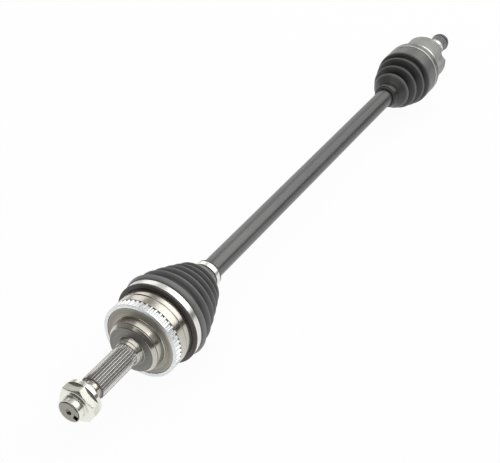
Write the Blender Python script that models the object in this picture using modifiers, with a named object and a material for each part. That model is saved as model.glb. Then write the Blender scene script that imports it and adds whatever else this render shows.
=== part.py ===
"""CV axle: a bar with a six-ball joint at the wheel end and a plunging tripod joint at the gearbox end.

+X runs along the axle from the wheel to the gearbox and +Z is up. The origin is the middle of the bar.
Every turned piece is drawn as (distance along the axle, radius) pairs from its own joint centre, from the
gearbox side to the wheel side along its outer surface.
"""
import math

import bmesh
import bpy
from mathutils import Matrix

COLLECTION_NAME = "cv_axle"
CUTTER_COLLECTION_NAME = "cutters"

# Places along the axle
OUTER_CENTRE_X = -0.350
INNER_CENTRE_X = 0.350

# Clearances
SEAT_GAP = 0.0003
RUNNING_GAP = 0.0004
TRACK_BOTTOM_GAP = 0.0008

# Facets round a turned piece
BOOT_SEGMENTS = 28
BELL_SEGMENTS = 28
BAR_SEGMENTS = 20
SMALL_SEGMENTS = 16
MERGE_DISTANCE = 0.000001

# Bar
BAR_RADIUS = 0.01225
BAR_SPLINE_RADIUS = 0.0108
BAR_OUTER_NECK_RADIUS = 0.0105
BAR_INNER_NECK_RADIUS = 0.0116
BAR_NECK_LENGTH = 0.042
BAR_NECK_TAPER = 0.010
BAR_END_LENGTH = 0.0012
CLIP_GROOVE_WIDTH = 0.0024
CLIP_GROOVE_DEPTH = 0.0014
CLIP_WIRE_RADIUS = 0.0009
CLIP_OPENING = math.radians(40)
EDGE_CHAMFER = 0.0008

# Six-ball joint
BALL_COUNT = 6
BALL_RADIUS = 0.0080
BALL_PITCH_RADIUS = 0.0290
CAGE_WALL = 0.0048
CAGE_HALF_WIDTH = 0.0125
CAGE_WINDOW_SIDE_GAP = 0.0012
RACE_HALF_WIDTH = 0.0115
TRACK_RADIUS = 0.0130
HALF_SWING = math.radians(22.3)
TRACK_EXIT_ANGLE = math.radians(58)

# Bell, boss and splined stub of the outer race
BELL_WALL = 0.0055
BELL_MOUTH_DEPTH = 0.0170
BELL_MOUTH_FLARE = 0.0040
BELL_LINE_OFFSET = 0.0030
BELL_LINE_WIDTH = 0.0016
BELL_LINE_DEPTH = 0.0007
CAVITY_DEPTH = 0.0280
BASE_WALL = 0.0090
BOSS_INSET = 0.0023
BOSS_LENGTH = 0.0150
BOSS_EDGE = 0.0016
BOSS_LINE_DEPTH = 0.0008
BOSS_LINE_WIDTH = 0.0016
BOSS_CONE_LENGTH = 0.0050
BOSS_CONE_DEPTH = 0.0027
BEARING_SEAT_RADIUS = 0.0153
BEARING_SEAT_LENGTH = 0.0080
SPLINE_RADIUS = 0.0130
SPLINE_LENGTH = 0.0550
SPLINE_RUNOUT = 0.0020
SPLINE_DEPTH = 0.0011
SPLINE_COUNT = 28
THREAD_RADIUS = 0.0110
THREAD_LENGTH = 0.0360
UNDERCUT_LENGTH = 0.0040
UNDERCUT_DEPTH = 0.0007
CENTRE_HOLE_RADIUS = 0.0032
CENTRE_HOLE_DEPTH = 0.0055

# Toothed speed ring on the bell
TONE_TEETH = 48
TONE_STEP = 0.0041
TONE_WIDTH = 0.0100
TONE_TOOTH_HEIGHT = 0.0019
TONE_TOOTH_SHARE = 0.50
TONE_RIM_OVER_BELL = 0.0002

# Hub nut
NUT_ACROSS_FLATS = 0.0360
NUT_COLLAR_LENGTH = 0.0080
NUT_COLLAR_WALL = 0.0016
NUT_HEX_LENGTH = 0.0100
NUT_FLANGE_LENGTH = 0.0050
NUT_FLANGE_RADIUS = 0.0203
NUT_CHAMFER_LENGTH = 0.0032
NUT_SETBACK = 0.0010
NUT_TURN = math.radians(17)
STAKE_WIDTH = 0.0054
STAKE_LENGTH = 0.0060
STAKE_DEPTH = 0.0044
STAKE_ANGLE = math.radians(295)

# Tripod joint
TRUNNION_COUNT = 3
ROLLER_RADIUS = 0.0140
ROLLER_WIDTH = 0.0104
ROLLER_WALL = 0.0028
ROLLER_PITCH_RADIUS = 0.0216
NEEDLE_RADIUS = 0.0010
NEEDLE_COUNT = 14
SPIDER_HALF_WIDTH = 0.0090
SPIDER_HUB_WALL = 0.0044
RETAINER_THICKNESS = 0.0011
RETAINER_OVERLAP = 0.0016
TRUNNION_END_LENGTH = 0.0010

# Three-lobed housing and its stub, with distances from the tripod centre
HOUSING_MOUTH = 0.0230
HOUSING_FLOOR = 0.0350
TRACK_SIDE_GAP = 0.0012
LOBE_TOP_GAP = 0.0045
LOBE_WALL = 0.0030
LOBE_HALF_ANGLE = math.radians(45)
WEB_INNER_RADIUS = 0.0220
WEB_WALL = 0.0078
MOUTH_FLARE_RADIUS = 0.0262
MOUTH_FLARE_DEPTH = 0.0120
MOUTH_RIM = 0.0024
HOUSING_BASE_WALL = 0.0035
BASE_RECESS_RADIUS = 0.0150
BASE_RECESS_DEPTH = 0.0035
STUB_BOSS_RADIUS = 0.0175
STUB_BOSS_LENGTH = 0.0120
INNER_STUB_RADIUS = 0.0130
INNER_STUB_LENGTH = 0.0685
INNER_SPLINE_LENGTH = 0.0260
INNER_SPLINE_COUNT = 26
INNER_SPLINE_DEPTH = 0.0010
STUB_CLIP_OFFSET = 0.0060
INSERT_WALL = 0.0028
INSERT_LENGTH = 0.0170

# Boots
BOOT_SMALL_WALL = 0.0026
BOOT_SMALL_SEAT = 0.0110
BOOT_END_LIP = 0.0018
BOOT_LIP_HEIGHT = 0.0008
BOOT_RIB_WALL = 0.0022
OUTER_BOOT_WALL = 0.0031
OUTER_BOOT_SEAT = 0.0085
OUTER_BOOT_LAP = 0.0090
OUTER_BOOT_LIP_WIDTH = 0.0020
OUTER_BOOT_LIP_HEIGHT = 0.0017
OUTER_CREST_COUNT = 6
OUTER_CREST_START = 0.0055
OUTER_CREST_PITCH = 0.0145
OUTER_CREST_SHRINK = 0.90
OUTER_CREST_RISE = 0.0037
OUTER_LAST_CREST = 0.0290
OUTER_DOME_POWER = 1.25
OUTER_VALLEY_DEPTH = 0.0056
OUTER_BOOT_LENGTH = 0.1030
OUTER_CREST_SHARE = 0.24
INNER_BOOT_WALL = 0.0020
INNER_BOOT_SEAT = 0.0120
INNER_BOOT_LAP = 0.0150
INNER_BAND_RISE = 0.0013
INNER_BAND_START = 0.0240
INNER_BAND_END = 0.0380
INNER_BAND_GROOVE = 0.0072
INNER_CREST_COUNT = 3
INNER_CREST_START = 0.0500
INNER_CREST_PITCH = 0.0180
INNER_CREST_SHRINK = 0.805
INNER_CREST_RISE = -0.0021
INNER_LAST_CREST = 0.0267
INNER_DOME_POWER = 1.39
INNER_VALLEY_DEPTH = 0.0092
INNER_BOOT_LENGTH = 0.1065
INNER_CREST_SHARE = 0.17

# Band clamps
CLAMP_THICKNESS = 0.0010
SMALL_CLAMP_WIDTH = 0.0090
OUTER_CLAMP_WIDTH = 0.0080
INNER_CLAMP_WIDTH = 0.0110
EAR_HEIGHT = 0.0042
EAR_WIDTH = 0.0070
EAR_ANGLE = math.radians(48)
CLAMP_POINTS = 32

# Colours and finishes: base colour, roughness, metallic
STEEL_BRIGHT = (0.56, 0.55, 0.51, 0.28, 1.0)
STEEL_DARK = (0.16, 0.16, 0.165, 0.42, 0.9)
STEEL_HOUSING = (0.33, 0.33, 0.32, 0.38, 1.0)
STEEL_HARD = (0.62, 0.62, 0.63, 0.20, 1.0)
STEEL_SPRING = (0.22, 0.22, 0.23, 0.40, 1.0)
STEEL_BAND = (0.66, 0.66, 0.65, 0.25, 1.0)
BAND_BLACK = (0.12, 0.12, 0.12, 0.45, 0.8)
ZINC = (0.72, 0.75, 0.71, 0.30, 1.0)
ZINC_YELLOW = (0.70, 0.71, 0.63, 0.30, 1.0)
RUBBER = (0.055, 0.055, 0.056, 0.55, 0.0)
PLASTIC = (0.05, 0.05, 0.05, 0.50, 0.0)

# Sizes that follow from the ones above
CAGE_INNER_RADIUS = BALL_PITCH_RADIUS - CAGE_WALL / 2
CAGE_OUTER_RADIUS = BALL_PITCH_RADIUS + CAGE_WALL / 2
RACE_RADIUS = CAGE_INNER_RADIUS - RUNNING_GAP
BELL_SPHERE_RADIUS = CAGE_OUTER_RADIUS + RUNNING_GAP
BELL_RADIUS = BALL_PITCH_RADIUS + BALL_RADIUS + TRACK_BOTTOM_GAP + BELL_WALL
TONE_SEAT_RADIUS = BELL_RADIUS - TONE_STEP
BOSS_RADIUS = BELL_SPHERE_RADIUS - BOSS_INSET
BOSS_FACE = CAVITY_DEPTH + BASE_WALL
BELL_FACE = BOSS_FACE - BOSS_LENGTH
TONE_BACK = BELL_FACE - TONE_WIDTH
STUB_END = BOSS_FACE + BEARING_SEAT_LENGTH + SPLINE_LENGTH + THREAD_LENGTH
BAR_OUTER_END = RACE_HALF_WIDTH + CLIP_GROOVE_WIDTH + BAR_END_LENGTH
BAR_INNER_END = SPIDER_HALF_WIDTH + CLIP_GROOVE_WIDTH + BAR_END_LENGTH
NUT_CORNER_RADIUS = NUT_ACROSS_FLATS / 2 / math.cos(math.pi / 6)

ROLLER_BORE_RADIUS = ROLLER_RADIUS - ROLLER_WALL
TRUNNION_RADIUS = ROLLER_BORE_RADIUS - 2 * NEEDLE_RADIUS - 2 * SEAT_GAP
ROLLER_TOP = ROLLER_PITCH_RADIUS + ROLLER_WIDTH / 2
ROLLER_BOTTOM = ROLLER_PITCH_RADIUS - ROLLER_WIDTH / 2
RETAINER_TOP = ROLLER_TOP + SEAT_GAP + RETAINER_THICKNESS
TRUNNION_TOP = RETAINER_TOP + SEAT_GAP + TRUNNION_END_LENGTH
LOBE_INNER_RADIUS = ROLLER_TOP + LOBE_TOP_GAP
LOBE_RADIUS = LOBE_INNER_RADIUS + LOBE_WALL
WEB_RADIUS = WEB_INNER_RADIUS + WEB_WALL
HOUSING_BACK = HOUSING_FLOOR + HOUSING_BASE_WALL
INNER_STUB_END = HOUSING_BACK + INNER_STUB_LENGTH
INSERT_RADIUS = LOBE_RADIUS + SEAT_GAP + INSERT_WALL

BOOT_SMALL_RADIUS = BAR_RADIUS + SEAT_GAP + BOOT_SMALL_WALL
OUTER_SEAT_RADIUS = BELL_RADIUS + SEAT_GAP + OUTER_BOOT_WALL
INNER_SEAT_RADIUS = INSERT_RADIUS + SEAT_GAP + INNER_BOOT_WALL


def clear_scene():
    """Start from a scene with no objects."""
    for item in list(bpy.data.objects):
        bpy.data.objects.remove(item)


def make_collection(name):
    """A collection linked to the scene."""
    collection = bpy.data.collections.new(name)
    bpy.context.scene.collection.children.link(collection)
    return collection


def make_material(name, finish):
    """A Principled material from a colour, a roughness and a metallic value."""
    red, green, blue, roughness, metallic = finish
    material = bpy.data.materials.new(name)
    material.use_nodes = True
    shader = material.node_tree.nodes["Principled BSDF"]
    shader.inputs["Base Color"].default_value = (red, green, blue, 1.0)
    shader.inputs["Roughness"].default_value = roughness
    shader.inputs["Metallic"].default_value = metallic
    return material


def make_centre(name, x):
    """An empty on the axle whose local Z runs along the axle towards the gearbox."""
    empty = bpy.data.objects.new(name, None)
    empty.rotation_euler = (0.0, math.pi / 2, 0.0)
    empty.location = (x, 0.0, 0.0)
    PARTS.objects.link(empty)
    return empty


def make_trunnion_frame(number, angle):
    """An empty at the tripod centre whose local Z runs out along one trunnion."""
    empty = bpy.data.objects.new(f"trunnion_axis_{number}", None)
    empty.parent = TRIPOD
    empty.rotation_euler = (Matrix.Rotation(angle, 3, "Z") @ Matrix.Rotation(math.pi / 2, 3, "Y")).to_euler()
    PARTS.objects.link(empty)
    return empty


def place(item, parent, finish):
    """Put a finished piece in the object's collection with its own material."""
    item.parent = parent
    PARTS.objects.link(item)
    item.data.materials.append(make_material(item.name, finish))
    return item


def place_cutter(item, parent):
    """Put a cutting shape among the cutters, out of the render."""
    item.parent = parent
    item.hide_render = True
    item.display_type = "WIRE"
    CUTTERS.objects.link(item)
    return item


def turned(name, outline, segments, ring=False):
    """Turn (distance, radius) pairs round the local Z axis; a ring's outline closes on itself."""
    mesh = bpy.data.meshes.new(name)
    count = len(outline)
    points = [(radius, 0.0, along) for along, radius in outline]
    edges = [(index, index + 1) for index in range(count - 1)]
    if ring:
        edges.append((count - 1, 0))
    mesh.from_pydata(points, edges, [])
    item = bpy.data.objects.new(name, mesh)
    screw = item.modifiers.new("turn", "SCREW")
    screw.axis = "Z"
    screw.steps = segments
    screw.render_steps = segments
    screw.use_merge_vertices = True
    screw.merge_threshold = MERGE_DISTANCE
    screw.use_smooth_shade = True
    return item


def outline_curve(name, outlines, length):
    """A flat plate from closed outlines in the local XY plane, with the given length along Z."""
    curve = bpy.data.curves.new(name, "CURVE")
    curve.dimensions = "2D"
    curve.fill_mode = "BOTH"
    curve.extrude = length / 2
    for outline in outlines:
        spline = curve.splines.new("POLY")
        spline.points.add(len(outline) - 1)
        spline.use_cyclic_u = True
        for point, (x, y) in zip(spline.points, outline):
            point.co = (x, y, 0.0, 1.0)
    return bpy.data.objects.new(name, curve)


def curve_to_mesh(curve_item):
    """The same shape as a closed mesh object, for cutting and joining."""
    name = curve_item.name
    bpy.context.scene.collection.objects.link(curve_item)
    graph = bpy.context.evaluated_depsgraph_get()
    mesh = bpy.data.meshes.new_from_object(curve_item.evaluated_get(graph))
    welded = bmesh.new()
    welded.from_mesh(mesh)
    bmesh.ops.remove_doubles(welded, verts=welded.verts, dist=MERGE_DISTANCE)
    bmesh.ops.recalc_face_normals(welded, faces=welded.faces)
    welded.to_mesh(mesh)
    welded.free()
    location = curve_item.location.copy()
    bpy.data.objects.remove(curve_item)
    item = bpy.data.objects.new(name, mesh)
    item.location = location
    return item


def snap_ring(name, middle_radius, wire_radius, along):
    """An open wire ring round the local Z axis."""
    curve = bpy.data.curves.new(name, "CURVE")
    curve.dimensions = "3D"
    curve.bevel_depth = wire_radius
    curve.bevel_resolution = 0
    curve.use_fill_caps = True
    spline = curve.splines.new("POLY")
    spline.points.add(SMALL_SEGMENTS - 1)
    for index, point in enumerate(spline.points):
        angle = CLIP_OPENING / 2 + (2 * math.pi - CLIP_OPENING) * index / (SMALL_SEGMENTS - 1)
        point.co = (middle_radius * math.cos(angle), middle_radius * math.sin(angle), 0.0, 1.0)
    item = bpy.data.objects.new(name, curve)
    item.location = (0.0, 0.0, along)
    return item


def combine(item, other, operation="DIFFERENCE"):
    """Cut, join or trim a piece with another shape."""
    boolean = item.modifiers.new(other.name, "BOOLEAN")
    boolean.object = other
    boolean.operation = operation
    boolean.solver = "EXACT"


def circle(radius, count, turn=0.0):
    """Points of a circle that lie on the given radius."""
    step = 2 * math.pi / count
    return [(radius * math.cos(turn + step * i), radius * math.sin(turn + step * i)) for i in range(count)]


def sphere_arc(radius, start, end, steps):
    """(distance, radius) pairs along a sphere between two distances from its centre."""
    first = math.asin(start / radius)
    last = math.asin(end / radius)
    angles = [first + (last - first) * index / steps for index in range(steps + 1)]
    return [(radius * math.sin(angle), radius * math.cos(angle)) for angle in angles]


def build_bar():
    """The bar: a plain middle, a neck at each end and a stepped spline seat for each joint."""
    groove = BAR_SPLINE_RADIUS - CLIP_GROOVE_DEPTH
    inner = INNER_CENTRE_X
    outer = OUTER_CENTRE_X
    inner_shoulder = inner - SPIDER_HALF_WIDTH - SEAT_GAP
    outer_stop = outer + RACE_HALF_WIDTH
    outline = [
        (inner + BAR_INNER_END, 0.0),
        (inner + BAR_INNER_END, BAR_SPLINE_RADIUS - EDGE_CHAMFER),
        (inner + BAR_INNER_END - EDGE_CHAMFER, BAR_SPLINE_RADIUS),
        (inner + SPIDER_HALF_WIDTH + CLIP_GROOVE_WIDTH, BAR_SPLINE_RADIUS),
        (inner + SPIDER_HALF_WIDTH + CLIP_GROOVE_WIDTH, groove),
        (inner + SPIDER_HALF_WIDTH, groove),
        (inner + SPIDER_HALF_WIDTH, BAR_SPLINE_RADIUS),
        (inner_shoulder, BAR_SPLINE_RADIUS),
        (inner_shoulder, BAR_INNER_NECK_RADIUS),
        (inner - BAR_NECK_LENGTH, BAR_INNER_NECK_RADIUS),
        (inner - BAR_NECK_LENGTH - BAR_NECK_TAPER, BAR_RADIUS),
        (outer + BAR_NECK_LENGTH + BAR_NECK_TAPER, BAR_RADIUS),
        (outer + BAR_NECK_LENGTH, BAR_OUTER_NECK_RADIUS),
        (outer_stop + CLIP_GROOVE_WIDTH + BAR_END_LENGTH, BAR_OUTER_NECK_RADIUS),
        (outer_stop + CLIP_GROOVE_WIDTH + EDGE_CHAMFER, BAR_SPLINE_RADIUS),
        (outer_stop + CLIP_GROOVE_WIDTH, BAR_SPLINE_RADIUS),
        (outer_stop + CLIP_GROOVE_WIDTH, groove),
        (outer_stop, groove),
        (outer_stop, BAR_SPLINE_RADIUS),
        (outer - RACE_HALF_WIDTH, BAR_SPLINE_RADIUS),
        (outer - RACE_HALF_WIDTH, groove),
        (outer - RACE_HALF_WIDTH - CLIP_GROOVE_WIDTH, groove),
        (outer - RACE_HALF_WIDTH - CLIP_GROOVE_WIDTH, BAR_SPLINE_RADIUS),
        (outer - BAR_OUTER_END + EDGE_CHAMFER, BAR_SPLINE_RADIUS),
        (outer - BAR_OUTER_END, BAR_SPLINE_RADIUS - EDGE_CHAMFER),
        (outer - BAR_OUTER_END, 0.0),
    ]
    place(turned("axle_bar", outline, BAR_SEGMENTS), AXLE, STEEL_DARK)


def build_bar_clips():
    """Snap rings in the bar's grooves that keep the inner race and the spider on their splines."""
    middle = BAR_SPLINE_RADIUS - CLIP_GROOVE_DEPTH + SEAT_GAP + CLIP_WIRE_RADIUS
    race_clip = RACE_HALF_WIDTH + SEAT_GAP + CLIP_WIRE_RADIUS
    spider_clip = SPIDER_HALF_WIDTH + SEAT_GAP + CLIP_WIRE_RADIUS
    place(snap_ring("inner_race_circlip", middle, CLIP_WIRE_RADIUS, -race_clip), OUTER, STEEL_SPRING)
    place(snap_ring("inner_race_stop_ring", middle, CLIP_WIRE_RADIUS, race_clip), OUTER, STEEL_SPRING)
    place(snap_ring("spider_circlip", middle, CLIP_WIRE_RADIUS, spider_clip), TRIPOD, STEEL_SPRING)


def track_cutter(name, inward, first_angle, last_angle, turn):
    """A ball track bent round the joint centre, with a rounded end where the ball turns back.

    The section is a round wider than the ball, so that the ball has room to shift sideways in it, and its
    bottom stays one clearance from the ball. An inward track is the inner race's; the other is the bell's.
    """
    end_steps = 4
    run_steps = 6
    sides = 14
    grow = 1 / math.cos(math.pi / sides)
    sign = -1 if inward else 1
    bottom = BALL_PITCH_RADIUS + sign * (BALL_RADIUS + TRACK_BOTTOM_GAP)
    middle = bottom - sign * TRACK_RADIUS
    shape = bmesh.new()
    rings = []
    turn_back = max(first_angle, -HALF_SWING)
    angles = [first_angle + (turn_back - first_angle) * step / end_steps for step in range(end_steps)]
    angles += [turn_back + (last_angle - turn_back) * step / run_steps for step in range(run_steps + 1)]
    for angle in angles:
        past = max(0.0, -angle - HALF_SWING)
        rise = BALL_PITCH_RADIUS * math.sin(past)
        reach = BALL_PITCH_RADIUS * math.cos(past) + math.sqrt(max(0.0, BALL_RADIUS ** 2 - rise ** 2))
        radius = TRACK_RADIUS
        if past > 0.0 and not inward:
            radius = reach + TRACK_BOTTOM_GAP - middle
        ring = []
        for side in range(sides):
            around = 2 * math.pi * (side + 0.5) / sides
            out = middle + radius * grow * math.cos(around)
            ring.append(shape.verts.new((
                out * math.cos(angle), radius * grow * math.sin(around), out * math.sin(angle))))
        rings.append(ring)
    for ring, following in zip(rings, rings[1:]):
        for side in range(sides):
            after = (side + 1) % sides
            shape.faces.new((ring[side], ring[after], following[after], following[side]))
    shape.faces.new(rings[0])
    shape.faces.new(rings[-1])
    bmesh.ops.recalc_face_normals(shape, faces=shape.faces)
    mesh = bpy.data.meshes.new(name)
    shape.to_mesh(mesh)
    shape.free()
    item = bpy.data.objects.new(name, mesh)
    item.rotation_euler = (0.0, 0.0, turn)
    return place_cutter(item, OUTER)


def ball_angles():
    """The balls' angles round the joint, counted from straight up."""
    return [math.pi + 2 * math.pi * index / BALL_COUNT for index in range(BALL_COUNT)]


def spline_cutter(name, radius, depth, count, first, last, parent):
    """V grooves along the axle that leave spline teeth standing."""
    shape = bmesh.new()
    half = math.pi * radius / count * 0.62
    over = depth * 0.3
    for index in range(count):
        turn = Matrix.Rotation(2 * math.pi * index / count, 4, "Z")
        corners = [(radius - depth, 0.0), (radius + over, half), (radius + over, -half)]
        ends = [[shape.verts.new(turn @ Matrix.Translation((x, y, along)).to_translation())
                 for x, y in corners] for along in (first, last)]
        shape.faces.new(ends[0])
        shape.faces.new(ends[1])
        for side in range(3):
            after = (side + 1) % 3
            shape.faces.new((ends[0][side], ends[0][after], ends[1][after], ends[1][side]))
    bmesh.ops.recalc_face_normals(shape, faces=shape.faces)
    mesh = bpy.data.meshes.new(name)
    shape.to_mesh(mesh)
    shape.free()
    return place_cutter(bpy.data.objects.new(name, mesh), parent)


def build_outer_race():
    """The bell with its ball tracks, the boss for the wheel bearing, and the splined and threaded stub."""
    flare_start = BELL_MOUTH_DEPTH - BELL_MOUTH_FLARE
    floor = sphere_arc(BELL_SPHERE_RADIUS, -CAVITY_DEPTH, flare_start, 8)
    flare_end = floor[-1][1] + BELL_MOUTH_FLARE
    line = BELL_LINE_OFFSET
    seat_end = BOSS_FACE + BEARING_SEAT_LENGTH
    seat_groove = BOSS_FACE + BEARING_SEAT_LENGTH * 0.55
    spline_end = seat_end + SPLINE_LENGTH
    undercut_end = spline_end + UNDERCUT_LENGTH
    cone_start = BOSS_FACE - BOSS_CONE_LENGTH
    outline = [(-CAVITY_DEPTH, 0.0)] + floor + [
        (BELL_MOUTH_DEPTH, flare_end),
        (BELL_MOUTH_DEPTH, BELL_RADIUS - EDGE_CHAMFER),
        (BELL_MOUTH_DEPTH - EDGE_CHAMFER, BELL_RADIUS),
        (-line + BELL_LINE_WIDTH, BELL_RADIUS),
        (-line + BELL_LINE_WIDTH * 0.7, BELL_RADIUS - BELL_LINE_DEPTH),
        (-line, BELL_RADIUS - BELL_LINE_DEPTH),
        (-line - BELL_LINE_WIDTH * 0.3, BELL_RADIUS),
        (-TONE_BACK + SEAT_GAP, BELL_RADIUS),
        (-TONE_BACK + SEAT_GAP, TONE_SEAT_RADIUS),
        (-BELL_FACE + EDGE_CHAMFER, TONE_SEAT_RADIUS),
        (-BELL_FACE, TONE_SEAT_RADIUS - EDGE_CHAMFER),
        (-BELL_FACE, BOSS_RADIUS + BOSS_EDGE),
        (-BELL_FACE - BOSS_EDGE, BOSS_RADIUS),
        (-cone_start + BOSS_LINE_WIDTH, BOSS_RADIUS),
        (-cone_start + BOSS_LINE_WIDTH, BOSS_RADIUS - BOSS_LINE_DEPTH),
        (-cone_start, BOSS_RADIUS - BOSS_LINE_DEPTH),
        (-BOSS_FACE, BOSS_RADIUS - BOSS_LINE_DEPTH - BOSS_CONE_DEPTH),
        (-BOSS_FACE, BEARING_SEAT_RADIUS + EDGE_CHAMFER),
        (-BOSS_FACE - EDGE_CHAMFER, BEARING_SEAT_RADIUS),
        (-seat_groove, BEARING_SEAT_RADIUS),
        (-seat_groove, BEARING_SEAT_RADIUS - EDGE_CHAMFER),
        (-seat_end + EDGE_CHAMFER, BEARING_SEAT_RADIUS - EDGE_CHAMFER),
        (-seat_end, SPLINE_RADIUS),
        (-spline_end + EDGE_CHAMFER, SPLINE_RADIUS),
        (-spline_end, THREAD_RADIUS - UNDERCUT_DEPTH),
        (-undercut_end, THREAD_RADIUS - UNDERCUT_DEPTH),
        (-undercut_end - UNDERCUT_DEPTH, THREAD_RADIUS),
        (-STUB_END + EDGE_CHAMFER, THREAD_RADIUS),
        (-STUB_END, THREAD_RADIUS - EDGE_CHAMFER),
        (-STUB_END, CENTRE_HOLE_RADIUS),
        (-STUB_END + CENTRE_HOLE_DEPTH, 0.0),
    ]
    race = place(turned("outer_race", outline, BELL_SEGMENTS), OUTER, STEEL_BRIGHT)
    end_angle = HALF_SWING + math.asin(BALL_RADIUS / BALL_PITCH_RADIUS) * 0.95
    for number, angle in enumerate(ball_angles(), start=1):
        combine(race, track_cutter(f"bell_track_cutter_{number}", False, -end_angle, TRACK_EXIT_ANGLE, angle))
    combine(race, spline_cutter("stub_spline_cutter", SPLINE_RADIUS, SPLINE_DEPTH, SPLINE_COUNT,
                                -spline_end - SPLINE_RUNOUT, -seat_end - SPLINE_RUNOUT, OUTER))
    combine(race, stake_cutter("stub_keyway_cutter"))


def stake_cutter(name):
    """The slot at the stub's end that the nut's collar is staked into."""
    shape = bmesh.new()
    bmesh.ops.create_cube(shape, size=1.0)
    mesh = bpy.data.meshes.new(name)
    shape.to_mesh(mesh)
    shape.free()
    item = bpy.data.objects.new(name, mesh)
    middle = THREAD_RADIUS - STAKE_DEPTH / 2 + NUT_COLLAR_WALL
    item.scale = (STAKE_DEPTH + 2 * NUT_COLLAR_WALL, STAKE_WIDTH, 2 * STAKE_LENGTH)
    item.location = (middle * math.cos(STAKE_ANGLE), middle * math.sin(STAKE_ANGLE), -STUB_END)
    item.rotation_euler = (0.0, 0.0, STAKE_ANGLE)
    return place_cutter(item, OUTER)


def build_tone_ring():
    """The toothed ring pressed onto the bell for the wheel-speed sensor."""
    tip = BELL_RADIUS + TONE_RIM_OVER_BELL
    root = tip - TONE_TOOTH_HEIGHT
    step = 2 * math.pi / TONE_TEETH
    teeth = []
    for index in range(TONE_TEETH):
        middle = step * index
        for radius, share in ((root, -0.56), (tip, -0.44), (tip, 0.44), (root, 0.56)):
            angle = middle + step * share * TONE_TOOTH_SHARE
            teeth.append((radius * math.cos(angle), radius * math.sin(angle)))
    bore = circle(TONE_SEAT_RADIUS + SEAT_GAP, BELL_SEGMENTS)
    ring = outline_curve("abs_tone_ring", [teeth, bore], TONE_WIDTH)
    ring.location = (0.0, 0.0, -BELL_FACE + TONE_WIDTH / 2)
    place(ring, OUTER, ZINC)


def build_nut():
    """The hub nut: a thin collar staked into the stub's slot, a chamfered hexagon and a washer flange."""
    bore = THREAD_RADIUS + SEAT_GAP
    front = -STUB_END + NUT_SETBACK
    hex_front = front + NUT_COLLAR_LENGTH
    hex_back = hex_front + NUT_HEX_LENGTH
    back = hex_back + NUT_FLANGE_LENGTH
    collar = bore + NUT_COLLAR_WALL
    face_radius = NUT_ACROSS_FLATS / 2 * 0.94
    outline = [
        (back, bore + EDGE_CHAMFER),
        (back, NUT_FLANGE_RADIUS - EDGE_CHAMFER),
        (back - EDGE_CHAMFER, NUT_FLANGE_RADIUS),
        (hex_back + EDGE_CHAMFER, NUT_FLANGE_RADIUS),
        (hex_back, NUT_CORNER_RADIUS),
        (hex_front + NUT_CHAMFER_LENGTH * 0.7, NUT_CORNER_RADIUS),
        (hex_front, face_radius),
        (hex_front, collar + EDGE_CHAMFER),
        (hex_front - EDGE_CHAMFER, collar),
        (front + EDGE_CHAMFER / 2, collar),
        (front, collar - EDGE_CHAMFER / 2),
        (front, bore),
        (back - EDGE_CHAMFER, bore),
    ]
    nut = place(turned("axle_nut", outline, BAR_SEGMENTS, ring=True), OUTER, ZINC_YELLOW)
    hexagon = circle(NUT_CORNER_RADIUS, 6, NUT_TURN)
    surround = circle(NUT_CORNER_RADIUS * 1.5, SMALL_SEGMENTS)
    flats = outline_curve("nut_flats_cutter", [surround, hexagon], NUT_HEX_LENGTH)
    flats.location = (0.0, 0.0, (hex_front + hex_back) / 2)
    combine(nut, place_cutter(curve_to_mesh(flats), OUTER))
    combine(nut, stake_cutter("nut_stake_cutter"))


def build_inner_race():
    """The inner race: a ball-shaped hub on the bar with one track for each ball."""
    bore = BAR_SPLINE_RADIUS + SEAT_GAP
    outline = sphere_arc(RACE_RADIUS, RACE_HALF_WIDTH, -RACE_HALF_WIDTH, 6) + [
        (-RACE_HALF_WIDTH, bore + EDGE_CHAMFER),
        (-RACE_HALF_WIDTH + EDGE_CHAMFER, bore),
        (RACE_HALF_WIDTH - EDGE_CHAMFER, bore),
        (RACE_HALF_WIDTH, bore + EDGE_CHAMFER),
    ]
    race = place(turned("inner_race", outline, BAR_SEGMENTS, ring=True), OUTER, STEEL_HARD)
    for number, angle in enumerate(ball_angles(), start=1):
        combine(race, track_cutter(f"race_track_cutter_{number}", True, -math.pi / 4, math.pi / 4, angle))


def build_cage():
    """The cage that holds the six balls in one plane, with a window for each."""
    outline = sphere_arc(CAGE_OUTER_RADIUS, CAGE_HALF_WIDTH, -CAGE_HALF_WIDTH, 6)
    outline += sphere_arc(CAGE_INNER_RADIUS, -CAGE_HALF_WIDTH, CAGE_HALF_WIDTH, 6)
    cage = place(turned("outer_cage", outline, BAR_SEGMENTS, ring=True), OUTER, STEEL_HARD)
    window_length = 2 * (BALL_RADIUS + SEAT_GAP)
    window_width = 2 * (BALL_RADIUS + CAGE_WINDOW_SIDE_GAP)
    shape = bmesh.new()
    for angle in ball_angles():
        spot = Matrix.Rotation(angle, 4, "Z") @ Matrix.Translation((BALL_PITCH_RADIUS, 0.0, 0.0))
        size = Matrix.Diagonal((3 * CAGE_WALL, window_width, window_length, 1.0))
        bmesh.ops.create_cube(shape, size=1.0, matrix=spot @ size)
    mesh = bpy.data.meshes.new("cage_window_cutter")
    shape.to_mesh(mesh)
    shape.free()
    combine(cage, place_cutter(bpy.data.objects.new("cage_window_cutter", mesh), OUTER))


def build_balls():
    """The six balls, numbered from the top one."""
    shape = bmesh.new()
    bmesh.ops.create_uvsphere(shape, u_segments=10, v_segments=7, radius=BALL_RADIUS)
    for face in shape.faces:
        face.smooth = True
    mesh = bpy.data.meshes.new("ball")
    shape.to_mesh(mesh)
    shape.free()
    for number, angle in enumerate(ball_angles(), start=1):
        ball = bpy.data.objects.new(f"outer_ball_{number}", mesh.copy())
        ball.location = (BALL_PITCH_RADIUS * math.cos(angle), BALL_PITCH_RADIUS * math.sin(angle), 0.0)
        place(ball, OUTER, STEEL_HARD)
    bpy.data.meshes.remove(mesh)


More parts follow.
